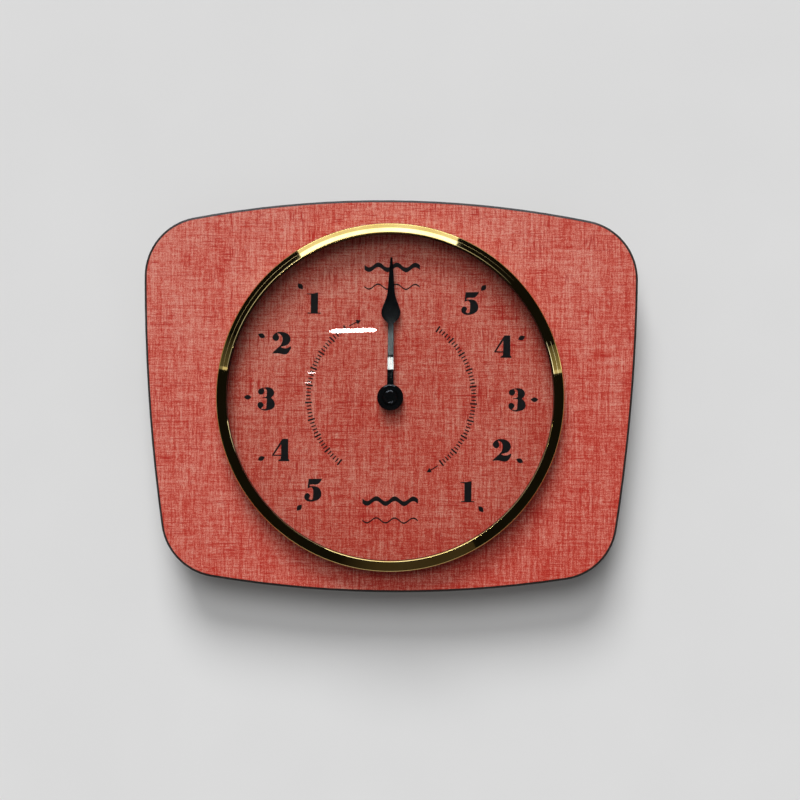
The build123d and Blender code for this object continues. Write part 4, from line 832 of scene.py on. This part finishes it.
# %% Softened pieces of the back
SOFTENED = (
    # piece, CAD node, body, round in mm, segments
    ("case_shell", "movement_case", "clock", 0.18, 2),
    ("case_cover", "movement_cover", "clock", 0.22, 2),
    ("hanger", "hanger_plate", "clock", 0.12, 2),
    ("spacers", "wall_spacers", "clock", 0.2, 2),
    ("pads", "spacer_pads", "clock", 0.3, 3),
    ("knob", "setting_knob", "setting_knob", 0.12, 2),
    ("press_ring", "glass_ring", "clock", 0.2, 2),
    ("clamp_nut", "hex_nut", "clock", 0.2, 2),
    ("clamp_washer", "flat_washer", "clock", 0.1, 2),
)
for name, node, body, width, segments in SOFTENED:
    make_piece(name, round_edges(cad_copy(node), width, segments), body, SLOT[node], stands_for=[node])

# %% [markdown]
# ## The battery
# An AA cell is a drawn steel can in a printed sleeve. The sleeve is rolled over both ends, the plus end has
# a pressed nub and the minus end a shallow dish. All of it is one profile spun round the cell's own axis,
# and the bare steel has a second finish.

# %% Cell with sleeve, nub and dish
cell_low, cell_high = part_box("battery")
cell_axis = (cell_low + cell_high) / 2
LEFT, RIGHT = cell_low.x / MM, cell_high.x / MM
SLEEVE_INNER = 5.75  # the rolled sleeve ends at this radius in mm
CELL_PROFILE = [
    (LEFT + 0.5, 0), (LEFT + 0.5, 3.6), (LEFT + 0.1, 4.2), (LEFT + 0.1, 5.7), (LEFT, 6), (LEFT + 0.05, 6.6),
    (LEFT + 0.4, 7), (LEFT + 0.9, 7.1), (RIGHT - 2.2, 7.1), (RIGHT - 1.7, 7), (RIGHT - 1.35, 6.6), (RIGHT -
    1.3, 6), (RIGHT - 1.42, 5.6), (RIGHT - 1.42, 3.2), (RIGHT - 1.2, 2.75), (RIGHT - 0.3, 2.7),
    (RIGHT, 2.3), (RIGHT, 0),
]
bm = bmesh.new()
profile = chain(bm, [(x * MM, cell_axis.y, cell_axis.z + r * MM) for x, r in CELL_PROFILE])
lathe(bm, profile, cell_axis, (1, 0, 0), SMALL_STEPS)
for face in bm.faces:
    radius = (face.calc_center_median() - cell_axis).cross(Vector((1, 0, 0))).length / MM
    face.material_index = 0 if radius > SLEEVE_INNER else 1
make_piece(
    "cell", bm, "battery", "battery_jacket", FINISH["battery_jacket"], FINISH["contact_nickel"],
    stands_for=["battery"],
)

# %% [markdown]
# ## Marks moulded in the case
# A movement's case has a few raised marks for whoever sets it: a ring and two curved arrows round the
# setting knob, and a plus and a minus at the battery bay. They are flat bands and outlines on the cover,
# extruded by a third of a millimetre, and grey, so that they show on black.

# %% Ring, arrows, plus and minus
MARK_HEIGHT, MARK_OUT, MARK_UP = 0.3, 21.0, 4.0  # mm; the plus and the minus stand this far out and up
RING_RADIUS, RING_WIDTH, RING_STEPS = 6.8, 0.8, 64
TURN_RADIUS, TURN_START, TURN_END, TURN_WIDTH, TURN_HEAD = 9.2, 20, 160, 0.7, 1.3
HALF, LONG = 0.4, 1.7  # half the width of a stroke and half its length in mm
PLUS = [
    (HALF, HALF), (HALF, LONG), (-HALF, LONG), (-HALF, HALF), (-LONG, HALF), (-LONG, -HALF),
    (-HALF, -HALF), (-HALF, -LONG), (HALF, -LONG), (HALF, -HALF), (LONG, -HALF), (LONG, HALF),
]
MINUS = [(LONG, HALF), (-LONG, HALF), (-LONG, -HALF), (LONG, -HALF)]
knob_low, knob_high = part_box("setting_knob")
COVER_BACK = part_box("movement_cover")[1].y
KNOB = Vector(((knob_low.x + knob_high.x) / 2, COVER_BACK, (knob_low.z + knob_high.z) / 2))
bm = bmesh.new()
arc_band(bm, KNOB, RING_RADIUS, RING_WIDTH, 0, 360, RING_STEPS)
for side in (1, -1):
    arrow(bm, KNOB, TURN_RADIUS, side * TURN_START, side * TURN_END, TURN_WIDTH, TURN_HEAD)
for outline, right in ((PLUS, MARK_OUT), (MINUS, -MARK_OUT)):
    spot = Vector((right * MM, COVER_BACK, cell_high.z + MARK_UP * MM))
    bm.faces.new([bm.verts.new(spot + Vector((x * MM, 0, z * MM))) for x, z in outline])
top = bmesh.ops.extrude_face_region(bm, geom=bm.faces[:], use_keep_orig=True)["geom"]
raised = [v for v in top if isinstance(v, bmesh.types.BMVert)]
bmesh.ops.translate(bm, verts=raised, vec=(0, MARK_HEIGHT * MM, 0))
bmesh.ops.recalc_face_normals(bm, faces=bm.faces)
make_piece("moulded_marks", bm, "clock", "knob_plastic", even=False)

# %% [markdown]
# ## The wall
# The clock hangs on a plain pale wall, a large grid just behind the spacers' pads. It is seen only from the
# front: from behind it is clear, and mirrors don't show it, so the back of the clock can be looked at too.

# %% Wall seen from the front
PALE = paint(217, 217, 217)
WALL_HALF = 2.7


def pale_wall():
    material, tree, shader = start_finish("pale_wall")
    tone = ramp(tree, noise(tree, 60.0, 2.0), (0.3, paint(227, 227, 227)), (0.7, paint(229, 229, 229)))
    feed(tree, shader, tone, 0.9)
    shader.inputs["Specular IOR Level"].default_value = 0.0
    behind = add(tree, "NewGeometry").outputs["Backfacing"]
    mix_surface(tree, behind, shader, add(tree, "BsdfTransparent"))
    return material


def stage_piece(name, bm, material):
    """An object of the stage, which is no piece of the clock."""
    piece = add_object(name, bm, [material])
    return piece


bm = bmesh.new()
bmesh.ops.create_grid(
    bm, x_segments=1, y_segments=1, size=WALL_HALF,
    matrix=Matrix.Translation((DIAL.x, WALL, DIAL.z)) @ STAND,
)
wall = stage_piece("wall", bm, pale_wall())
wall.visible_shadow = wall.visible_glossy = False
print("wall", 2 * WALL_HALF, "m wide")

# %% [markdown]
# ## The dark room
# Polished brass is mostly near-black in a picture, because it mirrors the unlit room in front of it. A large
# sphere, cut off behind the wall, stands for that room, and only mirrors see it. The world behind is the
# wall's pale grey for what is seen directly, in a mirror or through glass, and a low even light for
# everything else.

# %% Room
ROOM_RADIUS, ROOM_DEEPER = 3.2, 0.45  # in metres
ROOM_DARK = 0.008  # how much the room glows


def dark_room():
    material, tree, shader = start_finish("dark_room")
    tree.nodes.remove(shader)
    set_surface(tree, add(tree, "Emission", {"Strength": ROOM_DARK}))
    return material


def show_in_mirrors_only(thing):
    thing.visible_camera = thing.visible_diffuse = False
    thing.visible_transmission = thing.visible_shadow = False


bm = bmesh.new()
bmesh.ops.create_uvsphere(
    bm, u_segments=48, v_segments=24, radius=ROOM_RADIUS, matrix=Matrix.Translation((DIAL.x, WALL, DIAL.z))
)
bmesh.ops.bisect_plane(
    bm, geom=bm.verts[:] + bm.edges[:] + bm.faces[:], plane_co=(0, WALL + ROOM_DEEPER, 0), plane_no=(0, 1, 0),
    clear_outer=True,
)
show_in_mirrors_only(stage_piece("room", bm, dark_room()))
print("room", 2 * ROOM_RADIUS, "m wide")

# %% World
AMBIENT = 0.16
world = bpy.data.worlds.new("studio")
scene.world = world
world.use_nodes = True
tree = world.node_tree
path = add(tree, "LightPath").outputs
seen = path["Is Camera Ray"]
for ray in ("Is Glossy Ray", "Is Transmission Ray"):
    seen = add(tree, "Math", {0: seen, 1: path[ray]}, operation="MAXIMUM").outputs[0]
air = tree.nodes["Background"].inputs
plug(tree, air["Strength"], remap(tree, seen, 0.0, 1.0, AMBIENT, PALE[0]))
plug(tree, air["Color"], (1, 1, 1, 1))
print("ambient", AMBIENT, "background", PALE[0])

# %% [markdown]
# ## Lamps
# Sun lamps with a wide angle are the soft light. They fall evenly on the wall and throw the clock's shadow,
# and mirrors don't show the two in front. Glowing cards are what brass, enamel and glass mirror: a softbox
# and a card overhead, narrow ones at the sides, a dim one below, and thin strips near the camera. They don't
# light matt surfaces. A facet tilted by 16 degrees mirrors what is about 35 degrees off the axis, so each
# card is a patch of a sphere between such angles. Light linking keeps the narrow cards at the sides for the
# ring alone and a few small ones for the hand alone, so that they don't streak the glass.

# %% Soft light
SUNS = (
    # name, where it stands, strength, width in degrees, whether mirrors show it
    ("key_light", (-0.11, -0.64, 0.76), 2.23, 28, False),
    ("fill_light", (-0.10, -1.0, 0.36), 0.97, 26, False),
    ("rear_light", (0.5, 1.0, 0.55), 1.6, 40, True),
    ("rear_fill", (-0.8, 1.0, 0.1), 0.7, 60, True),
)
for name, origin, strength, width, mirrored in SUNS:
    lamp = bpy.data.lights.new(name, "SUN")
    lamp.energy = strength
    lamp.angle = math.radians(width)
    holder = put(name, lamp)
    holder.rotation_euler = (-Vector(origin)).to_track_quat("-Z", "Y").to_euler()
    holder.visible_glossy = mirrored
    holder.visible_transmission = False
print("suns", len(SUNS))

# %% What the brass and the glass mirror
WHITE = (1.0, 1.0, 1.0)
WARM = (1.0, 0.95, 0.8)
AMBER = (1.0, 0.86, 0.7)
COOL = (0.85, 0.9, 1.2)
COLD = (0.8, 0.95, 1.5)
CARD_DISTANCE = 1.5  # in metres
CARD_STEP = 0.004  # each card stands this much nearer than the one before, and so covers it
RING_NEARER, HAND_NEARER = 0.1, -0.05  # the ring's cards stand in front of the others, the hand's behind
CARDS = (
    # name, degrees round from the top (from, to), off the dial's axis (from, to), brightness (from, to), tint
    ("softbox", -33, 22.5, 33, 42, 4.4, 4.4, (0.72, 0.78, 0.95)),
    ("top_card", -33, 22.5, 42, 82, 1.25, 1.25, WHITE),
    ("top_line", -33, 22.5, 82, 89, 8, 8, (0.8, 0.86, 1)),
    ("floor_card", 150, 184, 30, 100, 0.055, 0.055, AMBER),
    ("floor_fade", 184, 197, 30, 100, 0.055, 0.008, AMBER),
)
RING_CARDS = (
    ("left_glow", -80, -68, 30, 100, 0.12, 0, WARM),
    ("left_lip", -80, -33, 43.5, 50.5, 0.6, 1.6, COOL),
    ("left_edge", -80, -58, 82, 100, 0.6, 0.1, WARM),
    ("left_end", -81, -80, 30, 58, 0.95, 0.95, WHITE),
    ("left_end_out", -81, -80, 58, 100, 0.3, 0.3, WHITE),
    ("right_lip", 22.5, 46, 43.5, 50.5, 1.2, 0.1, COOL),
    ("right_glow", 71.5, 80, 30, 100, 0.10, 0.36, (1, 0.95, 0.7)),
    ("right_bead", 70, 80, 43.5, 50.5, 1, 3.2, COLD),
    ("right_edge", 70, 80, 82, 100, 0.4, 2.6, WHITE),
    ("right_end", 80, 81.2, 30, 100, 0.75, 0.75, WHITE),
    ("right_end_lip", 80, 81.2, 43.5, 50.5, 3.6, 3.6, COLD),
)
HAND_CARDS = (
    # name, degrees up (from, to), degrees to the right (from, to), brightness (from, to), tint
    ("bend_patch", 10.4, 13.4, -9, -5, 26, 26, WHITE),
    ("shaft_low", 1.70, 2.25, -0.9, 0.5, 12, 1, (0.9, 0.97, 1)),
    ("shaft_high", 2.25, 2.66, -0.9, 0.5, 1, 13, (0.85, 0.95, 1)),
)
STRIP_TAPER, END_SHARPNESS = 0.75, 10  # how much a strip narrows at its ends, and how suddenly
STRIPS = (
    # name, degrees to the right (from, to), degrees up (from, to), rise to the right in degrees, brightness
    ("strip", -11.05, -2.65, 11.3, 12.1, 0.2, 26),
    ("glint", -14.7, -13.2, 4.15, 4.45, 0.1, 14),
    ("small_glint", -15.1, -14, 2.45, 2.7, 0.1, 10),
)


def off_axis(around, off):
    """A direction out from the dial, at an angle round from the top and an angle off the axis."""
    a, o = math.radians(around), math.radians(off)
    return Vector((math.sin(a) * math.sin(o), -math.cos(o), math.cos(a) * math.sin(o)))


def level_with(right, up):
    """A direction out from the dial, at angles to the right and up."""
    return Vector((math.tan(math.radians(right)), -1.0, math.tan(math.radians(up)))).normalized()


def upright(up, right):
    """The same with the angle up first, for a glow that runs upwards."""
    return level_with(right, up)


def glowing(name, start, end, tint=(1, 1, 1)):
    """A glow that runs from one brightness to another along a mesh's own "share" attribute."""
    material, tree, shader = start_finish(name)
    tree.nodes.remove(shader)
    share = add(tree, "Attribute", attribute_name="share").outputs["Fac"]
    strength = remap(tree, share, 0.0, 1.0, start, end)
    set_surface(tree, add(tree, "Emission", {"Color": (*tint, 1), "Strength": strength}))
    return material


def mirrored_card(name, direction, across, along_it, glow, rise=0.0, nearer=0.0, taper=0.0):
    """A patch of a sphere that only mirrors see. Its ranges are angles, and taper narrows its ends."""
    middle, width = (along_it[0] + along_it[1]) / 2, along_it[1] - along_it[0]
    bm = bmesh.new()
    layer = bm.verts.layers.float.new("share")
    for vert in bmesh.ops.create_grid(bm, x_segments=24, y_segments=12, size=0.5)["verts"]:
        a, b = vert.co.x + 0.5, vert.co.y + 0.5
        vert[layer] = a
        swell = 1.0 - taper * abs(2 * a - 1) ** END_SHARPNESS
        first = across[0] + a * (across[1] - across[0])
        second = middle + (b - 0.5) * swell * width + rise * (a - 0.5)
        vert.co = DIAL + direction(first, second) * (CARD_DISTANCE - nearer)
    card = stage_piece(name, bm, glow)
    show_in_mirrors_only(card)
    return card


def hang_cards(rows, direction, only=None, nearer=0.0):
    """Makes the cards of a table. Where only is a piece, no other piece mirrors them."""
    for place, (name, start, end, low, high, first, last, tint) in enumerate(rows):
        glow = glowing(name, first, last, tint)
        nearest = nearer + CARD_STEP * place
        card = mirrored_card(name, direction, (start, end), (low, high), glow, nearer=nearest)
        if only:
            card.light_linking.receiver_collection = bpy.data.collections.new(name)
            card.light_linking.receiver_collection.objects.link(only)


hang_cards(CARDS, off_axis)
hang_cards(RING_CARDS, off_axis, brass_bezel, RING_NEARER)
hang_cards(HAND_CARDS, upright, black_hand, HAND_NEARER)
for name, start, end, low, high, rise, bright in STRIPS:
    glow = glowing(name, bright, bright)
    mirrored_card(name, level_with, (start, end), (low, high), glow, rise, taper=STRIP_TAPER)
print("cards", len(CARDS), "ring", len(RING_CARDS), "hand", len(HAND_CARDS), "strips", len(STRIPS))

# %% [markdown]
# ## The camera
# The camera looks straight at the wall from over a metre away. The dial is a little left of the frame's
# middle and a little above it, and the clock hangs half a degree out of true, so the camera is turned by
# that much.

# %% Camera and colour
CAMERA_DISTANCE = 1.25
FRAME_WIDTH = 0.3888  # what the frame takes in at the laminate's face, in metres
AIM_RIGHT, AIM_UP, ROLL = 4.75, -1.22, -0.5  # in mm and degrees
camera_data = bpy.data.cameras.new("camera")
camera_data.sensor_width = 36.0
camera_data.lens = camera_data.sensor_width * CAMERA_DISTANCE / FRAME_WIDTH
camera = put("camera", camera_data)
spot = DIAL + Vector((AIM_RIGHT * MM, -CAMERA_DISTANCE, AIM_UP * MM))
camera.matrix_world = swung(spot, ROLL) @ STAND
scene.camera = camera
scene.view_settings.view_transform = "Standard"
print("lens", camera_data.lens)
